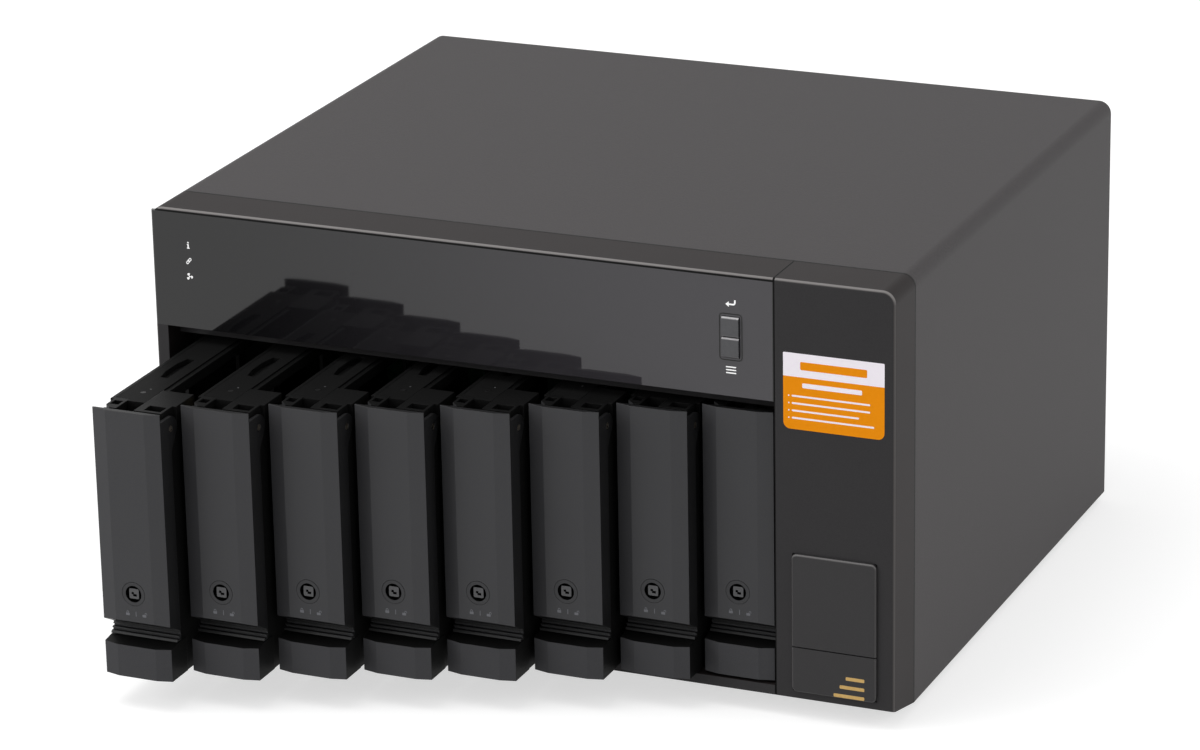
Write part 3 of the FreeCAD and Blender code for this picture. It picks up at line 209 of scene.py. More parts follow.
# 1 on a thin line across the surface, at a place along one axis
def makeSeamGroup():
    takes = [("Axis", "NodeSocketVector", (0, 1, 0)), ("Place", "NodeSocketFloat", 0.0),
             ("Half", "NodeSocketFloat", 0.0004)]
    group, entry, end = newGroup("seamLine", takes, [("Mask", "NodeSocketFloat")])
    place = addNode(group, "ShaderNodeTexCoord")
    along = addNode(group, "ShaderNodeVectorMath", operation="DOT_PRODUCT")
    join(group, place, "Object", along, 0)
    join(group, entry, "Axis", along, 1)
    away = worked(group, "SUBTRACT", along.outputs["Value"], entry.outputs["Place"])
    near = worked(group, "ABSOLUTE", away)
    feed(group, worked(group, "LESS_THAN", near, entry.outputs["Half"]), end.inputs["Mask"])
    return group


fineGrain = makeGrainGroup()
frontFaces = makeFaceGroup()
frontRims = makeRimHighlightGroup()
seamLine = makeSeamGroup()


def srgb(red, green, blue):
    linear = [(c / 255 / 12.92) if c < 10.3 else ((c / 255 + 0.055) / 1.055) ** 2.4
              for c in (red, green, blue)]
    return (*linear, 1)


def addGrain(tree, look):
    return addNode(tree, "ShaderNodeGroup", node_tree=fineGrain, Scale=look["scale"],
                   Spread=look["spread"], Dark=srgb(*look["dark"]), Light=srgb(*look["light"]),
                   Smooth=look["smooth"], Rough=look["rough"])


def grainMaterial(name, look):
    material = bpy.data.materials.new(name)
    material.use_nodes = True
    tree = material.node_tree
    shader = tree.nodes["Principled BSDF"]
    grain = addGrain(tree, look)
    bump = addNode(tree, "ShaderNodeBump", Strength=look["bump"], Distance=look["depth"])
    join(tree, grain, "Height", bump, "Height")
    if "edge" in look:
        soft = addNode(tree, "ShaderNodeBevel", samples=6, Radius=look["edge"])
        join(tree, soft, "Normal", bump, "Normal")
    join(tree, grain, "Color", shader, "Base Color")
    join(tree, grain, "Roughness", shader, "Roughness")
    join(tree, bump, "Normal", shader, "Normal")
    shader.inputs["Metallic"].default_value = look.get("metallic", 0.0)
    shader.inputs["Specular IOR Level"].default_value = look.get("specular", 0.5)
    # front faces lighter than the rest, which on the bezel, column and handles is partly painted
    # shade
    if "face" in look:
        twoToneAndPaintedShade(tree, grain, shader, look)
    # painted reflection: a lighter colour fading in across the gloss panel
    if "paintedReflection" in look:
        paintedReflectionAcross(tree, grain, shader, *look["paintedReflection"])
    # painted highlight: a lighter rim colour on the roundings, where they would catch the light
    if "rim" in look:
        rims = addNode(tree, "ShaderNodeGroup", node_tree=frontRims)
        layColour(tree, shader, rims, look["rim"])
    for axis, place, half in look.get("seams", ()):
        seam = addNode(tree, "ShaderNodeGroup", node_tree=seamLine, Axis=axis, Place=place, Half=half)
        layColour(tree, shader, seam, seamDark)
    # painted light: a glow that brightens the ink and labels, though they are no lamps
    if "glow" in look:
        shader.inputs["Emission Strength"].default_value = look["glow"]
        join(tree, grain, "Color", shader, "Emission Color")
    return material


# one more colour over what the base colour has so far, where the mask is 1
def layColour(tree, shader, mask, colour):
    base = shader.inputs["Base Color"]
    under = base.links[0].from_socket
    feed(tree, mixed(tree, "RGBA", mask.outputs["Mask"], under, srgb(*colour)), base)


# painted reflection: a lighter colour that comes in from left to right
def paintedReflectionAcross(tree, grain, shader, start, end, tone):
    share = addNode(tree, "ShaderNodeMapRange", interpolation_type="SMOOTHSTEP",
                    From_Min=start, From_Max=end)
    join(tree, addAxes(tree, "Object"), "X", share, "Value")
    colour = mixed(tree, "RGBA", share.outputs["Result"], grain.outputs["Color"], srgb(*tone))
    feed(tree, colour, shader.inputs["Base Color"])


# lighter front faces over a darker colour elsewhere: two-tone on the trays; on the bezel and column
# the darker top and sides are painted shade; on the handles the darker sides are partly their own
# black and partly painted shade
def twoToneAndPaintedShade(tree, grain, shader, look):
    mask = addNode(tree, "ShaderNodeGroup", node_tree=frontFaces, Level=look["faceLevel"])
    paint = addGrain(tree, look["face"])
    for kind, output, entry in (("RGBA", "Color", "Base Color"), ("FLOAT", "Roughness", "Roughness")):
        both = mixed(tree, kind, mask.outputs["Mask"], grain.outputs[output], paint.outputs[output])
        feed(tree, both, shader.inputs[entry])


# a seam is the axis across it, its place and its half width
columnSeam = ((1, 0, 0), columnLow[0], 0.45 * mm)
panelSeam = ((1, 0, 0), panelHigh[0], 0.4 * mm)
headSeam = ((0, 0, 1), panelHigh[2] + 0.3 * mm, 0.5 * mm)
coverSeam = ((0, 1, 0), coverLow[1], 0.9 * mm)
seamDark = (8, 8, 8)

# grain: scale, spread and two colours; shine: smooth to rough; relief: bump and depth
facePaint = {"scale": 2600.0, "spread": 0.6, "smooth": 0.42, "rough": 0.54}
columnPaint = dict(facePaint, dark=(48, 47, 48), light=(58, 57, 58), rough=0.52)
handlePaint = dict(facePaint, dark=(46, 46, 48), light=(57, 57, 59))
footPaint = dict(facePaint, dark=(62, 62, 64), light=(72, 72, 74))
ink = {"scale": 900.0, "spread": 0.5, "smooth": 0.35, "rough": 0.5, "bump": 0.05, "depth": 0.00002}
label = {"scale": 700.0, "spread": 0.4, "smooth": 0.4, "rough": 0.5, "bump": 0.05, "depth": 0.00003,
         "specular": 0.1}
finishes = {
    "powderCoat": {"scale": 1250.0, "spread": 0.85, "dark": (36, 33, 34), "light": (69, 66, 67),
                   "smooth": 0.46, "rough": 0.66, "bump": 0.6, "depth": 0.00016, "specular": 0.2,
                   "seams": [coverSeam]},
    # frontMoulding: its darker colour off the front faces is painted shade on the top and sides, and
    # rim is a painted highlight on the roundings
    "frontMoulding": {"scale": 2600.0, "spread": 0.6, "dark": (31, 27, 27), "light": (39, 35, 35),
                      "smooth": 0.46, "rough": 0.56, "bump": 0.25, "depth": 0.00006, "specular": 0.1,
                      "face": columnPaint, "faceLevel": 1.0, "rim": (128, 125, 124),
                      "seams": [columnSeam, headSeam]},
    # blankPlate: rim is a painted highlight on the rounded plate edges
    "blankPlate": {"scale": 2600.0, "spread": 0.6, "dark": (42, 41, 42), "light": (52, 51, 52),
                   "smooth": 0.38, "rough": 0.48, "bump": 0.2, "depth": 0.00005, "specular": 0.25,
                   "rim": (104, 102, 102)},
    # glossPanel: the lighter colour towards the right is a painted reflection
    "glossPanel": {"scale": 60.0, "spread": 0.5, "dark": (10, 10, 11), "light": (14, 14, 15),
                   "smooth": 0.03, "rough": 0.06, "bump": 0.02, "depth": 0.00002,
                   "paintedReflection": (panelLow[0], panelHigh[0], (60, 58, 62)), "seams": [panelSeam]},
    # buttonPlastic: rim is a painted highlight on the button roundings
    "buttonPlastic": {"scale": 800.0, "spread": 0.6, "dark": (62, 62, 65), "light": (70, 70, 73),
                      "smooth": 0.12, "rough": 0.2, "bump": 0.05, "depth": 0.00003,
                      "rim": (170, 168, 170)},
    # handlePlastic: the dark sides are partly the moulding's black and partly painted shade
    "handlePlastic": {"scale": 2200.0, "spread": 0.6, "dark": (15, 15, 16), "light": (24, 24, 25),
                      "smooth": 0.38, "rough": 0.5, "bump": 0.25, "depth": 0.00005, "specular": 0.3,
                      "edge": 0.0003, "face": handlePaint, "faceLevel": 1.0},
    # trayPlastic: rim is a painted highlight on the cheek edges and grip ribs; the lighter front
    # faces below faceLevel are the foot's own two-tone colour
    "trayPlastic": {"scale": 1500.0, "spread": 0.7, "dark": (10, 10, 10), "light": (19, 19, 19),
                    "smooth": 0.36, "rough": 0.55, "bump": 0.4, "depth": 0.0001, "specular": 0.08,
                    "edge": 0.0003, "face": footPaint, "faceLevel": 0.0295, "rim": (72, 72, 74)},
    "stripPlastic": {"scale": 1700.0, "spread": 0.7, "dark": (14, 14, 14), "light": (26, 26, 26),
                     "smooth": 0.44, "rough": 0.6, "bump": 0.35, "depth": 0.00008, "specular": 0.03,
                     "edge": 0.0002},
    "lockBlack": {"scale": 1400.0, "spread": 0.5, "dark": (6, 6, 6), "light": (12, 12, 12),
                  "smooth": 0.28, "rough": 0.4, "bump": 0.1, "depth": 0.00003, "specular": 0.3},
    "lockFace": {"scale": 2400.0, "spread": 0.6, "dark": (42, 42, 44), "light": (52, 52, 54),
                 "smooth": 0.36, "rough": 0.46, "bump": 0.15, "depth": 0.00004, "specular": 0.3},
    "keyMetal": {"scale": 1400.0, "spread": 0.5, "dark": (58, 58, 60), "light": (76, 76, 78),
                 "smooth": 0.3, "rough": 0.42, "bump": 0.1, "depth": 0.00003},
    "bareSteel": {"scale": 420.0, "spread": 0.5, "dark": (150, 151, 153), "light": (176, 177, 179),
                  "smooth": 0.25, "rough": 0.4, "bump": 0.05, "depth": 0.00003, "metallic": 1.0},
    "cageCoat": {"scale": 900.0, "spread": 0.5, "dark": (14, 14, 15), "light": (24, 24, 25),
                 "smooth": 0.4, "rough": 0.55, "bump": 0.2, "depth": 0.00005, "specular": 0.3},
    "fanPlastic": {"scale": 1200.0, "spread": 0.6, "dark": (20, 20, 21), "light": (32, 32, 33),
                   "smooth": 0.35, "rough": 0.5, "bump": 0.2, "depth": 0.00005},
    "footRubber": {"scale": 1800.0, "spread": 0.7, "dark": (18, 18, 18), "light": (30, 30, 30),
                   "smooth": 0.7, "rough": 0.9, "bump": 0.4, "depth": 0.0001, "specular": 0.2},
    "circuitBoard": {"scale": 300.0, "spread": 0.4, "dark": (12, 52, 32), "light": (20, 72, 44),
                     "smooth": 0.25, "rough": 0.4, "bump": 0.1, "depth": 0.00004},
    # signInk, labelOrange and labelWhite glow a little: painted light, though they are no lamps
    "signInk": dict(ink, dark=(236, 236, 236), light=(248, 248, 248), glow=0.3),
    "markInk": dict(ink, dark=(84, 85, 90), light=(104, 105, 110)),
    "goldInk": dict(ink, dark=(196, 156, 86), light=(222, 184, 112), rough=0.45),
    "labelOrange": dict(label, dark=(232, 138, 0), light=(240, 146, 8), glow=0.1),
    "labelWhite": dict(label, dark=(240, 234, 242), light=(248, 242, 248), glow=0.12),
    "pinSteel": {"scale": 900.0, "spread": 0.5, "dark": (150, 140, 128), "light": (190, 180, 165),
                 "smooth": 0.22, "rough": 0.35, "bump": 0.05, "depth": 0.00003, "metallic": 1.0},
    "brassLeaf": {"scale": 900.0, "spread": 0.5, "dark": (150, 128, 84), "light": (196, 172, 120),
                  "smooth": 0.2, "rough": 0.32, "bump": 0.05, "depth": 0.00003, "metallic": 1.0},
}
# the column moulding carries the same painted shade on its top and sides and the same painted rim
# highlight
finishes["columnMoulding"] = dict(finishes["frontMoulding"], seams=[columnSeam])
materials = {name: grainMaterial(name, look) for name, look in finishes.items()}
print("materials:", len(materials))


def dress(name, finish):
    node = nodes[name]
    if not node.material_slots:
        node.data.materials.append(None)
    for slot in node.material_slots:
        slot.material = materials[finish]


nodeFinishes = {
    "case_cover": "powderCoat", "rear_panel": "powderCoat", "base_pan": "powderCoat",
    "front_bezel": "frontMoulding", "column_bezel": "columnMoulding", "column_plates": "blankPlate",
    "display_panel": "glossPanel", "enter_button": "buttonPlastic", "select_button": "buttonPlastic",
    "front_board": "circuitBoard", "drive_cage": "cageCoat", "cage_roof": "cageCoat",
    "backplane_board": "circuitBoard", "fan_frames": "fanPlastic", "fan_rotor_left": "fanPlastic",
    "fan_rotor_right": "fanPlastic", "psu_fan_rotor": "fanPlastic", "power_supply": "bareSteel",
    "ac_inlet": "fanPlastic", "host_board": "bareSteel", "feet": "footRubber",
}
for name, finish in nodeFinishes.items():
    dress(name, finish)
for bay in bays:
    dress("tray_frame_%d" % bay, "trayPlastic")
    dress("tray_handle_%d" % bay, "handlePlastic")
    dress("tray_lock_%d" % bay, "lockBlack")
    dress("tray_strips_%d" % bay, "stripPlastic")
print("CAD nodes dressed")


# a finished mesh with its faces turned outwards
def meshData(name, mesh):
    bmesh.ops.recalc_face_normals(mesh, faces=mesh.faces)
    data = bpy.data.meshes.new(name)
    mesh.to_mesh(data)
    mesh.free()
    return data


def addPiece(name, mesh, finish, body):
    data = meshData(name, mesh)
    data.materials.append(materials[finish])
    piece = addObject(name, data)
    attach(piece, body)
    return piece


# a flat shape with holes, drawn in x and z, between two depths
def addSlab(mesh, loops, near, far):
    edges = []
    for loop in loops:
        verts = [mesh.verts.new((x, near, z)) for x, z in loop]
        edges += [mesh.edges.new(pair) for pair in zip(verts, verts[1:] + verts[:1])]
    filled = bmesh.ops.triangle_fill(mesh, edges=edges, use_beauty=True)
    faces = [item for item in filled["geom"] if isinstance(item, bmesh.types.BMFace)]
    grown = bmesh.ops.extrude_face_region(mesh, geom=faces)
    moved = [item for item in grown["geom"] if isinstance(item, bmesh.types.BMVert)]
    bmesh.ops.translate(mesh, vec=(0, far - near, 0), verts=moved)


# a skin over rings of points, closed at the first ring and, unless left open, at the last
def skinRings(mesh, rings, openEnd=False):
    for first, second in zip(rings, rings[1:]):
        for k in range(len(first)):
            n = (k + 1) % len(first)
            mesh.faces.new((first[k], first[n], second[n], second[k]))
    mesh.faces.new(rings[0])
    if not openEnd:
        mesh.faces.new(rings[-1])


# one radius for all corners, or four from the lower left one on, against the clock
def roundedBox(low, high, radii, steps=5):
    if not isinstance(radii, list):
        radii = [radii] * 4
    (x0, z0), (x1, z1) = low, high
    corners = [(x0, z0, 180), (x1, z0, 270), (x1, z1, 0), (x0, z1, 90)]
    loop = []
    for (x, z, start), radius in zip(corners, radii):
        inX = x + radius if x == x0 else x - radius
        inZ = z + radius if z == z0 else z - radius
        for step in range(steps + 1):
            angle = math.radians(start + 90 * step / steps)
            loop.append((inX + radius * math.cos(angle), inZ + radius * math.sin(angle)))
            if radius == 0:
                break
    return loop


# points of a circle in any plane, as pairs
def ringLoop(x, z, radius, steps):
    turns = [2 * math.pi * k / steps for k in range(steps)]
    return [(x + radius * math.cos(turn), z + radius * math.sin(turn)) for turn in turns]


# an outline in millimetres, turned and set at x and z
def placed(outline, x, z, turn=0.0):
    c, s = math.cos(turn) * mm, math.sin(turn) * mm
    return [(x + u * c - v * s, z + u * s + v * c) for u, v in outline]


signLook = {
    "column": 17.15, "rise": 3.6, "pitch": 6.8, "proud": 0.05, "thick": 0.06,
    "dot": 0.36, "dotRise": 1.25, "steps": 20,
    "stem": [(-0.6, 0.55), (0.3, 0.55), (0.3, -1.0), (0.65, -1.0), (0.65, -1.35), (-0.65, -1.35),
             (-0.65, -1.0), (-0.3, -1.0), (-0.3, 0.2), (-0.6, 0.2)],
    "chain": [((-1.0, -0.62), (1.0, 0.62), 0.6), ((-0.66, -0.28), (0.66, 0.28), 0.27)],
    "chainTurn": 50, "chainReach": 0.66, "chainLift": 0.02,
    "hub": 0.34, "blades": 3,
    "blade": [(0.42, 0.1), (1.35, -0.25), (1.55, 0.45), (1.15, 1.0), (0.5, 0.85), (0.3, 0.4)],
}


# lamp signs at the left of the glossy panel: information, link and fan
def makeSigns(look):
    x = panelLow[0] + look["column"] * mm
    middle = (panelLow[2] + columnHigh[2]) / 2 + look["rise"] * mm
    near = panelLow[1] - look["proud"] * mm
    far = near + look["thick"] * mm
    pitch = look["pitch"] * mm

    info = bmesh.new()
    z = middle + pitch
    addSlab(info, [ringLoop(x, z + look["dotRise"] * mm, look["dot"] * mm, look["steps"])],
            near, far)
    addSlab(info, [placed(look["stem"], x, z)], near, far)
    addPiece("signInfo", info, "signInk", "chassis")

    link = bmesh.new()
    loops = [roundedBox(*box) for box in look["chain"]]
    turn = math.radians(look["chainTurn"])
    reach = look["chainReach"] * mm
    for side, lift in ((-1, 0), (1, look["chainLift"])):
        spot = (x + side * reach * math.cos(turn), middle + side * reach * math.sin(turn))
        addSlab(link, [placed(loop, *spot, turn) for loop in loops], near - lift * mm, far)
    addPiece("signLink", link, "signInk", "chassis")

    fan = bmesh.new()
    z = middle - pitch
    addSlab(fan, [ringLoop(x, z, look["hub"] * mm, look["steps"])], near, far)
    for step in range(look["blades"]):
        turn = math.radians(90 + 360 / look["blades"] * step)
        addSlab(fan, [placed(look["blade"], x, z, turn)], near, far)
    addPiece("signFan", fan, "signInk", "chassis")


makeSigns(signLook)

rockerMarks = {
    "width": 4.4, "bar": 0.5, "barRound": 0.2, "pitch": 1.25, "barDrop": 3.5, "bars": 3,
    "proud": 0.05, "thick": 0.06, "arrowRise": 4.4,
    "arrow": [(-2.2, 0.0), (-0.75, 1.15), (-0.75, 0.33), (1.1, 0.33), (1.42, 0.48), (1.55, 0.85),
              (1.55, 1.9), (2.2, 1.9), (2.2, 0.7), (1.95, 0.05), (1.3, -0.33), (-0.75, -0.33),
              (-0.75, -1.15)],
}


# return arrow above the rocker and three bars below it
def makeRockerMarks(look):
    x = (selectLow[0] + selectHigh[0]) / 2
    near = panelLow[1] - look["proud"] * mm
    far = near + look["thick"] * mm
    half = look["width"] / 2 * mm
    bars = bmesh.new()
    for step in range(look["bars"]):
        z = selectLow[2] - (look["barDrop"] + look["pitch"] * step) * mm
        bar = roundedBox((x - half, z), (x + half, z + look["bar"] * mm), look["barRound"] * mm)
        addSlab(bars, [bar], near, far)
    addPiece("menuBars", bars, "signInk", "chassis")
    arrow = bmesh.new()
    addSlab(arrow, [placed(look["arrow"], x, enterHigh[2] + look["arrowRise"] * mm)], near, far)
    addPiece("returnArrow", arrow, "signInk", "chassis")


makeRockerMarks(rockerMarks)

surroundLook = {"reach": 0.55, "cover": 0.12, "outerRound": 1.7, "innerRound": 1.2, "proud": 0.04}


# dark line with round corners about the rocker
def makeSurround(look):
    loops = []
    for grow, radius in ((look["reach"], look["outerRound"]), (look["cover"], look["innerRound"])):
        low = (selectLow[0] - grow * mm, selectLow[2] - grow * mm)
        high = (enterHigh[0] + grow * mm, enterHigh[2] + grow * mm)
        loops.append(roundedBox(low, high, radius * mm))
    ring = bmesh.new()
    addSlab(ring, loops, panelLow[1] - look["proud"] * mm, panelLow[1])
    addPiece("rockerSurround", ring, "lockBlack", "chassis")


makeSurround(surroundLook)

stickerLook = {
    "left": 3.95, "right": 4.45, "drop": 30.2, "band": 9.9, "height": 32.1, "headRound": 0.4,
    "footRound": 2.8, "thick": 0.12, "ink": 0.03, "titleSide": 0.17, "titleFoot": 3.1,
    "titleHead": 3.4, "roundShare": 0.45, "roundMost": 0.5, "indent": 1.3, "dotSteps": 12,
    "rowSteps": 3,
    # start and end as shares of the width, then drop, height and leading dot
    "rows": [(0.19, 0.78, 4.4, 2.0, 0), (0.055, 0.86, 8.5, 0.75, 0.32),
             (0.055, 0.86, 11.6, 0.75, 0.32), (0.055, 0.75, 14.7, 0.75, 0.32),
             (0.055, 0.9, 17.8, 0.75, 0.32)],
}


# plain two-colour sticker on the column, with bars where a maker prints words
def makeSticker(look):
    left, right = columnLow[0] + look["left"] * mm, columnHigh[0] - look["right"] * mm
    width = right - left
    head = columnHigh[2] - look["drop"] * mm
    split = head - look["band"] * mm
    foot = head - look["height"] * mm
    far = columnLow[1]
    near = far - look["thick"] * mm
    inkNear = near - look["ink"] * mm

    white = bmesh.new()
    corner = look["headRound"] * mm
    addSlab(white, [roundedBox((left, split), (right, head), [0, 0, corner, corner])], near, far)
    addPiece("stickerHead", white, "labelWhite", "chassis")
    orange = bmesh.new()
    corner = look["footRound"] * mm
    addSlab(orange, [roundedBox((left, foot), (right, split), [corner, corner, 0, 0])], near, far)
    addPiece("stickerField", orange, "labelOrange", "chassis")

    title = bmesh.new()
    side = width * look["titleSide"]
    addSlab(title, [roundedBox((left + side, split + look["titleFoot"] * mm),
                               (right - side, head - look["titleHead"] * mm),
                               look["roundMost"] * mm)], inkNear, near)
    addPiece("stickerTitle", title, "labelOrange", "chassis")
    lines = bmesh.new()
    for start, end, drop, tall, dot in look["rows"]:
        z = split - drop * mm
        x = left + width * start
        if dot:
            bullet = ringLoop(x, z + tall * mm / 2, dot * mm, look["dotSteps"])
            addSlab(lines, [bullet], inkNear, near)
            x += look["indent"] * mm
        corner = min(tall * look["roundShare"], look["roundMost"]) * mm
        row = roundedBox((x, z), (left + width * end, z + tall * mm), corner, look["rowSteps"])
        addSlab(lines, [row], inkNear, near)
    addPiece("stickerLines", lines, "labelWhite", "chassis")


makeSticker(stickerLook)

plateLook = {"split": 28.0, "line": 0.5, "round": 2.2, "leastRound": 0.2, "bevel": 1.0, "steps": 5}


# the two blank plates with round outer corners and a rounded rim
def makePlates(look):
    left, right = platesLow[0], platesHigh[0]
    split = columnLow[2] + look["split"] * mm
    half = look["line"] * mm / 2
    corner, least, bevel = look["round"] * mm, look["leastRound"] * mm, look["bevel"] * mm
    rims = [(0.0, platesHigh[1])]  # inset and depth of each ring, from back to front
    for step in range(look["steps"], -1, -1):
        turn = math.pi / 2 * step / look["steps"]
        rims.append((bevel * (1 - math.sin(turn)), platesLow[1] + bevel * (1 - math.cos(turn))))
    plates = bmesh.new()
    for foot, head, radii in ((platesLow[2], split - half, [corner, corner, 0, 0]),
                              (split + half, platesHigh[2], [0, 0, corner, corner])):
        rings = []
        for inset, depth in rims:
            low = (left + inset, foot + (inset if radii[0] else 0))
            high = (right - inset, head - (inset if radii[2] else 0))
            turned = [max(radius - inset, least) if radius else 0 for radius in radii]
            loop = roundedBox(low, high, turned)
            rings.append([plates.verts.new((x, depth, z)) for x, z in loop])
        skinRings(plates, rings)
    piece = addPiece("roundPlates", plates, "blankPlate", "chassis")
    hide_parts("column_plates")


makePlates(plateLook)

goldLook = {"right": 4.9, "tall": 1.5, "round": 0.4, "proud": 0.03,
            "lines": [(16.6, 8.0), (12.7, 10.6), (8.8, 13.2)]}  # rise and width


# three gold bars, right-aligned near the foot of the lower plate
def makeGoldBars(look):
    right = platesHigh[0] - look["right"] * mm
    far = platesLow[1]
    near = far - look["proud"] * mm
    bars = bmesh.new()
    for rise, wide in look["lines"]:
        z = columnLow[2] + rise * mm
        bar = roundedBox((right - wide * mm, z), (right, z + look["tall"] * mm), look["round"] * mm)
        addSlab(bars, [bar], near, far)
    addPiece("goldBars", bars, "goldInk", "chassis")


makeGoldBars(goldLook)
print("signs, sticker and bars made")

lockLook = {
    "centre": 5.15, "outer": 5.05, "bore": 3.62, "steps": 48, "lift": 0.04, "sink": 0.6,
    "keyThick": 0.15,
    "key": ((-2.2, -2.2), (2.2, 2.2), 0.75),
    "slot": [(-1.15, 0.62), (-0.05, 0.62), (-0.05, -0.1), (1.2, -0.1), (1.2, -1.15),
             (-0.45, -1.15), (-0.45, -0.35), (-1.15, -0.35)],
}


# face ring of the lock and the key face sunk in its bore
def makeLockTrim(bay, look):
    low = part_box("tray_lock_%d" % bay)[0]
    handleLow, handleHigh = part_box("tray_handle_%d" % bay)
    x = (handleLow[0] + handleHigh[0]) / 2
    z = low[2] + look["centre"] * mm
    face = low[1]
    ring = bmesh.new()
    loops = [ringLoop(x, z, look[edge] * mm, look["steps"]) for edge in ("outer", "bore")]
    addSlab(ring, loops, face - look["lift"] * mm, face)
    addPiece("lockRing_%d" % bay, ring, "lockFace", "lock_%d" % bay)
    key = bmesh.new()
    sunk = face + look["sink"] * mm
    loops = [placed(roundedBox(*look["key"]), x, z), placed(look["slot"], x, z)]
    addSlab(key, loops, sunk - look["keyThick"] * mm, sunk)
    addPiece("keyFace_%d" % bay, key, "keyMetal", "lock_%d" % bay)


markLook = {
    "drop": 8.7, "lift": 0.04, "bar": ((0.55, -1.1), (0.85, 1.1), 0.1, 2),
    "body": ((-0.85, -0.95), (0.85, 0.15), 0.2, 3),
    "bow": [(0.55, 0.15), (0.55, 0.55), (0.38, 0.95), (0.0, 1.12), (-0.38, 0.95), (-0.55, 0.55),
            (-0.55, 0.3), (-0.3, 0.3), (-0.3, 0.5), (-0.2, 0.72), (0.0, 0.84), (0.2, 0.72),
            (0.3, 0.5), (0.3, 0.15)],
    "padlocks": [(-3.1, 0.0), (4.5, 0.75)],  # place, and how far the bow is swung open
}


# two padlocks, shut and open, and a bar between them under the lock
def makeLockMarks(bay, look):
    handleLow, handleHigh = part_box("tray_handle_%d" % bay)
    x = (handleLow[0] + handleHigh[0]) / 2
    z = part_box("tray_lock_%d" % bay)[0][2] + (lockLook["centre"] - look["drop"]) * mm
    far = handleLow[1]
    near = far - look["lift"] * mm
    marks = bmesh.new()
    addSlab(marks, [placed(roundedBox(*look["bar"]), x, z)], near, far)
    for side, swing in look["padlocks"]:
        spot = x + side * mm
        bow = [(u + swing, v) for u, v in look["bow"]]
        addSlab(marks, [placed(roundedBox(*look["body"]), spot, z)], near, far)
        addSlab(marks, [placed(bow, spot, z)], near, far)
    addPiece("lockMarks_%d" % bay, marks, "markInk", "handle_%d" % bay)


pinLook = {
    "depth": 10.5, "drop": 8.7, "inside": 0.12, "steps": 28,
    "profile": [(1.34, 0.0), (1.38, 0.03), (1.38, 0.07), (1.26, 0.1), (0.62, 0.1), (0.5, 0.05)],
}


# turned heads of the hinge pin, drawn round the x axis, one on either side of the handle
def makePins(bay, look):
    low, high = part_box("tray_handle_%d" % bay)
    y = low[1] + look["depth"] * mm
    z = high[2] - look["drop"] * mm
    pins = bmesh.new()
    for side, edge in ((1, high[0]), (-1, low[0])):
        rings = []
        for radius, out in look["profile"]:
            x = edge + side * (out - look["inside"]) * mm
            loop = ringLoop(y, z, radius * mm, look["steps"])
            rings.append([pins.verts.new((x, v, w)) for v, w in loop])
        skinRings(pins, rings)
    addPiece("pinHeads_%d" % bay, pins, "pinSteel", "tray_%d" % bay)


stripLook = [
    {"name": "stripEye", "finish": "lockBlack", "aside": 0.6, "back": 27.0, "radius": 1.15,
     "dish": 0.75},
    {"name": "stripDot", "finish": "keyMetal", "aside": 1.7, "back": 31.5, "radius": 0.42,
     "dish": 0.2},
]
eyeLook = {"rise": 0.09, "shoulder": 0.05, "lip": 0.9, "well": 0.8, "wellRise": 0.03, "steps": 24}


# low round boss with a dished middle, drawn round the z axis
def addEye(mesh, x, y, z, radius, dish, look):
    profile = [(radius, 0.0), (radius, look["shoulder"]), (radius * look["lip"], look["rise"]),
               (dish, look["rise"]), (dish * look["well"], look["wellRise"])]
    rings = []
    for reach, rise in profile:
        loop = ringLoop(x, y, reach * mm, look["steps"])
        rings.append([mesh.verts.new((u, v, z + rise * mm)) for u, v in loop])
    skinRings(mesh, rings)


# rivet eye and bright dot on the upper strip
def makeStripTrim(bay, looks):
    low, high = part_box("tray_strips_%d" % bay)
    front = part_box("tray_handle_%d" % bay)[0][1]
    for look in looks:
        x = (low[0] + high[0]) / 2 + look["aside"] * mm
        eye = bmesh.new()
        addEye(eye, x, front + look["back"] * mm, high[2], look["radius"], look["dish"], eyeLook)
        addPiece("%s_%d" % (look["name"], bay), eye, look["finish"], "tray_%d" % bay)


leafLook = {"aside": 15.0, "start": 15.0, "length": 9.0, "tall": 4.6, "drop": 2.0, "bow": 0.75,
            "gauge": 0.2, "ends": 0.01, "steps": 10}


# bowed earthing leaf on the left side of the tray, near its front
def makeLeaf(bay, look):
    handleLow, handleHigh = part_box("tray_handle_%d" % bay)
    x = (handleLow[0] + handleHigh[0]) / 2 - look["aside"] * mm
    z1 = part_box("tray_frame_%d" % bay)[1][2] - look["drop"] * mm
    z0 = z1 - look["tall"] * mm
    leaf = bmesh.new()
    rings = []
    for k in range(look["steps"] + 1):
        share = k / look["steps"]
        y = handleLow[1] + (look["start"] + look["length"] * share) * mm
        bowed = x - look["bow"] * mm * math.sin(math.pi * share)
        outer, inner = bowed - look["ends"] * mm, min(bowed + look["gauge"] * mm, x)
        corners = ((outer, z0), (outer, z1), (inner, z1), (inner, z0))
        rings.append([leaf.verts.new((u, y, z)) for u, z in corners])
    skinRings(leaf, rings)
    addPiece("earthLeaf_%d" % bay, leaf, "brassLeaf", "tray_%d" % bay)


for bay in bays:
    makeLockTrim(bay, lockLook)
    makeLockMarks(bay, markLook)
    makePins(bay, pinLook)
    makeStripTrim(bay, stripLook)
    makeLeaf(bay, leafLook)
print("tray trim made")


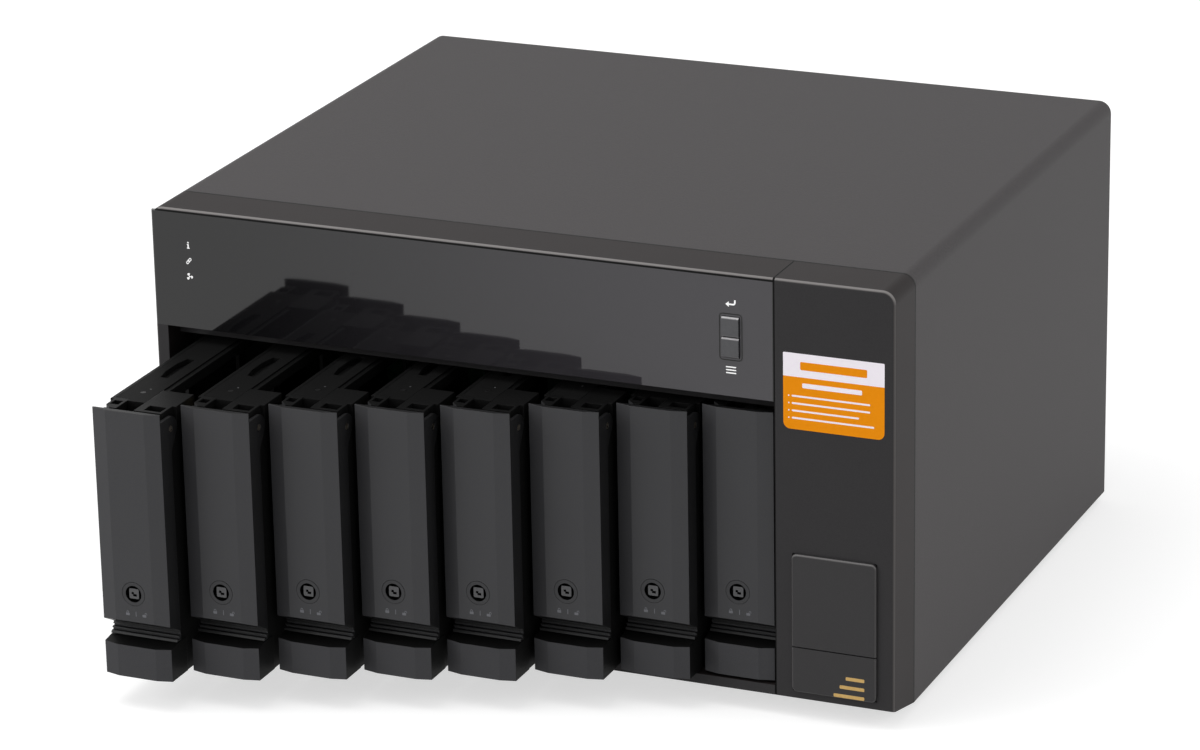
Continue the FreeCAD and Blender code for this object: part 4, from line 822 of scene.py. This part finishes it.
# geometry-node tree that sets one small solid on every point of a mesh
def makeScatterTree(name):
    tree = bpy.data.node_groups.new(name, "GeometryNodeTree")
    for label, way, kind in (("Geometry", "INPUT", "NodeSocketGeometry"),
                             ("Item", "INPUT", "NodeSocketObject"),
                             ("Material", "INPUT", "NodeSocketMaterial"),
                             ("Geometry", "OUTPUT", "NodeSocketGeometry")):
        tree.interface.new_socket(label, in_out=way, socket_type=kind)
    entry = tree.nodes.new("NodeGroupInput")
    end = tree.nodes.new("NodeGroupOutput")
    item = tree.nodes.new("GeometryNodeObjectInfo")
    place = tree.nodes.new("GeometryNodeInstanceOnPoints")
    solid = tree.nodes.new("GeometryNodeRealizeInstances")
    paint = tree.nodes.new("GeometryNodeSetMaterial")
    join(tree, entry, "Item", item, "Object")
    join(tree, entry, "Geometry", place, "Points")
    join(tree, item, "Geometry", place, "Instance")
    join(tree, place, "Instances", solid, "Geometry")
    join(tree, solid, "Geometry", paint, "Geometry")
    join(tree, entry, "Material", paint, "Material")
    join(tree, paint, "Geometry", end, "Geometry")
    return tree


scatterTree = makeScatterTree("setOnPoints")


def scatter(name, spots, item, finish, body):
    points = bpy.data.meshes.new(name + "Points")
    points.from_pydata(spots, [], [])
    holder = addObject(name + "Points", points)
    modifier = holder.modifiers.new("set", "NODES")
    modifier.node_group = scatterTree
    given = {"Item": item, "Material": materials[finish]}
    for socket in scatterTree.interface.items_tree:
        if socket.in_out == "INPUT" and socket.name in given:
            modifier[socket.identifier] = given[socket.name]
    bpy.context.view_layer.update()
    seen = holder.evaluated_get(bpy.context.evaluated_depsgraph_get())
    data = bpy.data.meshes.new_from_object(seen)
    bpy.data.objects.remove(holder)
    data.name = name
    piece = addObject(name, data)
    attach(piece, body)


screwLook = {
    "radius": 2.9, "rise": 1.3, "cross": 1.9, "arm": 0.42, "deep": 0.7, "taper": 0.7, "steps": 24,
    "profile": [(1.0, 0.0), (1.0, 0.35), (0.93, 0.68), (0.78, 0.92)],  # shares of radius and rise
}


# pan head with a cross recess, axis along y, seat at y = 0, facing +y
def makeScrewHead(look):
    mesh = bmesh.new()
    radius, rise = look["radius"] * mm, look["rise"] * mm
    arm, cross, deep = look["arm"] * mm, look["cross"] * mm, look["deep"] * mm
    rings = []
    for share, level in look["profile"]:
        loop = ringLoop(0, 0, radius * share, look["steps"])
        rings.append([mesh.verts.new((x, rise * level, z)) for x, z in loop])
    skinRings(mesh, rings, openEnd=True)
    outline = [(arm, arm), (cross, arm), (cross, -arm), (arm, -arm), (arm, -cross), (-arm, -cross),
               (-arm, -arm), (-cross, -arm), (-cross, arm), (-arm, arm), (-arm, cross), (arm, cross)]
    taper = look["taper"]
    upper = [mesh.verts.new((x, rise, z)) for x, z in outline]
    lower = [mesh.verts.new((x * taper, rise - deep, z * taper)) for x, z in outline]
    edges = [mesh.edges.new(pair) for pair in zip(upper, upper[1:] + upper[:1])]
    rim = rings[-1]
    edges += [mesh.edges.get(pair) for pair in zip(rim, rim[1:] + rim[:1])]
    bmesh.ops.triangle_fill(mesh, edges=edges, use_beauty=True)
    skinRings(mesh, [lower, upper], openEnd=True)
    return addObject("screwHead", meshData("screwHead", mesh))


rearLook = {"edge": 6.0, "foot": 9.0, "fanHalf": 52.5, "sideRise": 0.45, "across": 4}


# screws of the rear panel: along its top, at its sides and at the fans' corners
def makeRearScrews(look):
    back = rearHigh[1]
    left, right = rearLow[0] + look["edge"] * mm, rearHigh[0] - look["edge"] * mm
    head, foot = rearHigh[2] - look["edge"] * mm, rearLow[2] + look["foot"] * mm
    pitch = (right - left) / (look["across"] - 1)
    spots = [(left + pitch * k, back, head) for k in range(look["across"])]
    spots += [(side, back, foot + (head - foot) * look["sideRise"]) for side in (left, right)]
    reach = look["fanHalf"] * mm
    for rotor in ("fan_rotor_left", "fan_rotor_right"):
        low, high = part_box(rotor)
        x, z = (low[0] + high[0]) / 2, (low[2] + high[2]) / 2
        spots += [(x + reach * sx, back, z + reach * sz) for sx in (-1, 1) for sz in (-1, 1)]
    item = makeScrewHead(screwLook)
    scatter("rearScrews", spots, item, "bareSteel", "chassis")
    bpy.data.objects.remove(item)


makeRearScrews(rearLook)
print("rear screws made")


# 1 for what the camera sees straight, in a reflection or through glass, 0 for light on the object
def whiteToEye(tree):
    path = addNode(tree, "ShaderNodeLightPath").outputs
    seen = worked(tree, "MAXIMUM", path["Is Camera Ray"], path["Is Glossy Ray"])
    return worked(tree, "MAXIMUM", seen, path["Is Transmission Ray"])


worldLook = {"light": 0.5, "seen": 1.0, "colour": (1, 1, 1, 1)}


def makeWorld(look):
    world = bpy.data.worlds.new("studio")
    bpy.context.scene.world = world
    world.use_nodes = True
    tree = world.node_tree
    tree.nodes.clear()
    out = addNode(tree, "ShaderNodeOutputWorld")
    dim = addNode(tree, "ShaderNodeBackground", Color=look["colour"], Strength=look["light"])
    plain = addNode(tree, "ShaderNodeBackground", Color=look["colour"], Strength=look["seen"])
    mix = addNode(tree, "ShaderNodeMixShader")
    feed(tree, whiteToEye(tree), mix.inputs[0])
    join(tree, dim, 0, mix, 1)
    join(tree, plain, 0, mix, 2)
    join(tree, mix, 0, out, "Surface")


floorLook = {"base": 0.55, "glow": 0.62, "half": 30.0}


def makeFloor(look):
    half = look["half"]
    mesh = bpy.data.meshes.new("floor")
    mesh.from_pydata([(-half, -half, 0), (half, -half, 0), (half, half, 0), (-half, half, 0)], [],
                     [(0, 1, 2, 3)])
    floor = addObject("floor", mesh)
    material = bpy.data.materials.new("paleFloor")
    material.use_nodes = True
    tree = material.node_tree
    tree.nodes.clear()
    out = addNode(tree, "ShaderNodeOutputMaterial")
    matt = addNode(tree, "ShaderNodeBsdfDiffuse", Color=(look["base"],) * 3 + (1,))
    glow = addNode(tree, "ShaderNodeEmission", Color=(1, 1, 1, 1))
    feed(tree, worked(tree, "MULTIPLY", whiteToEye(tree), look["glow"]), glow.inputs["Strength"])
    both = addNode(tree, "ShaderNodeAddShader")
    join(tree, matt, 0, both, 0)
    join(tree, glow, 0, both, 1)
    join(tree, both, 0, out, "Surface")
    mesh.materials.append(material)


lamps = [
    {"name": "aboveLamp", "place": (-0.5, -0.6, 2.3), "aim": (0, 0, 0.1), "size": 1.4, "power": 22},
    {"name": "leftLamp", "place": (-2.2, -1.8, 1.3), "aim": (0, 0, 0.1), "size": 1.8, "power": 34},
    {"name": "rightLamp", "place": (2.6, 1.0, 1.0), "aim": (0, 0, 0.1), "size": 1.8, "power": 27},
]


def makeLamp(look):
    data = bpy.data.lights.new(look["name"], "AREA")
    data.shape = "SQUARE"
    data.size = look["size"]
    data.energy = look["power"]
    lamp = addObject(look["name"], data)
    aim = Vector(look["aim"]) - Vector(look["place"])
    turn = aim.to_track_quat("-Z", "Y").to_matrix().to_4x4()
    lamp.matrix_world = Matrix.Translation(look["place"]) @ turn


makeWorld(worldLook)
makeFloor(floorLook)
for look in lamps:
    makeLamp(look)
bpy.context.scene.view_settings.view_transform = "Standard"
print("floor, lamps and world ready")
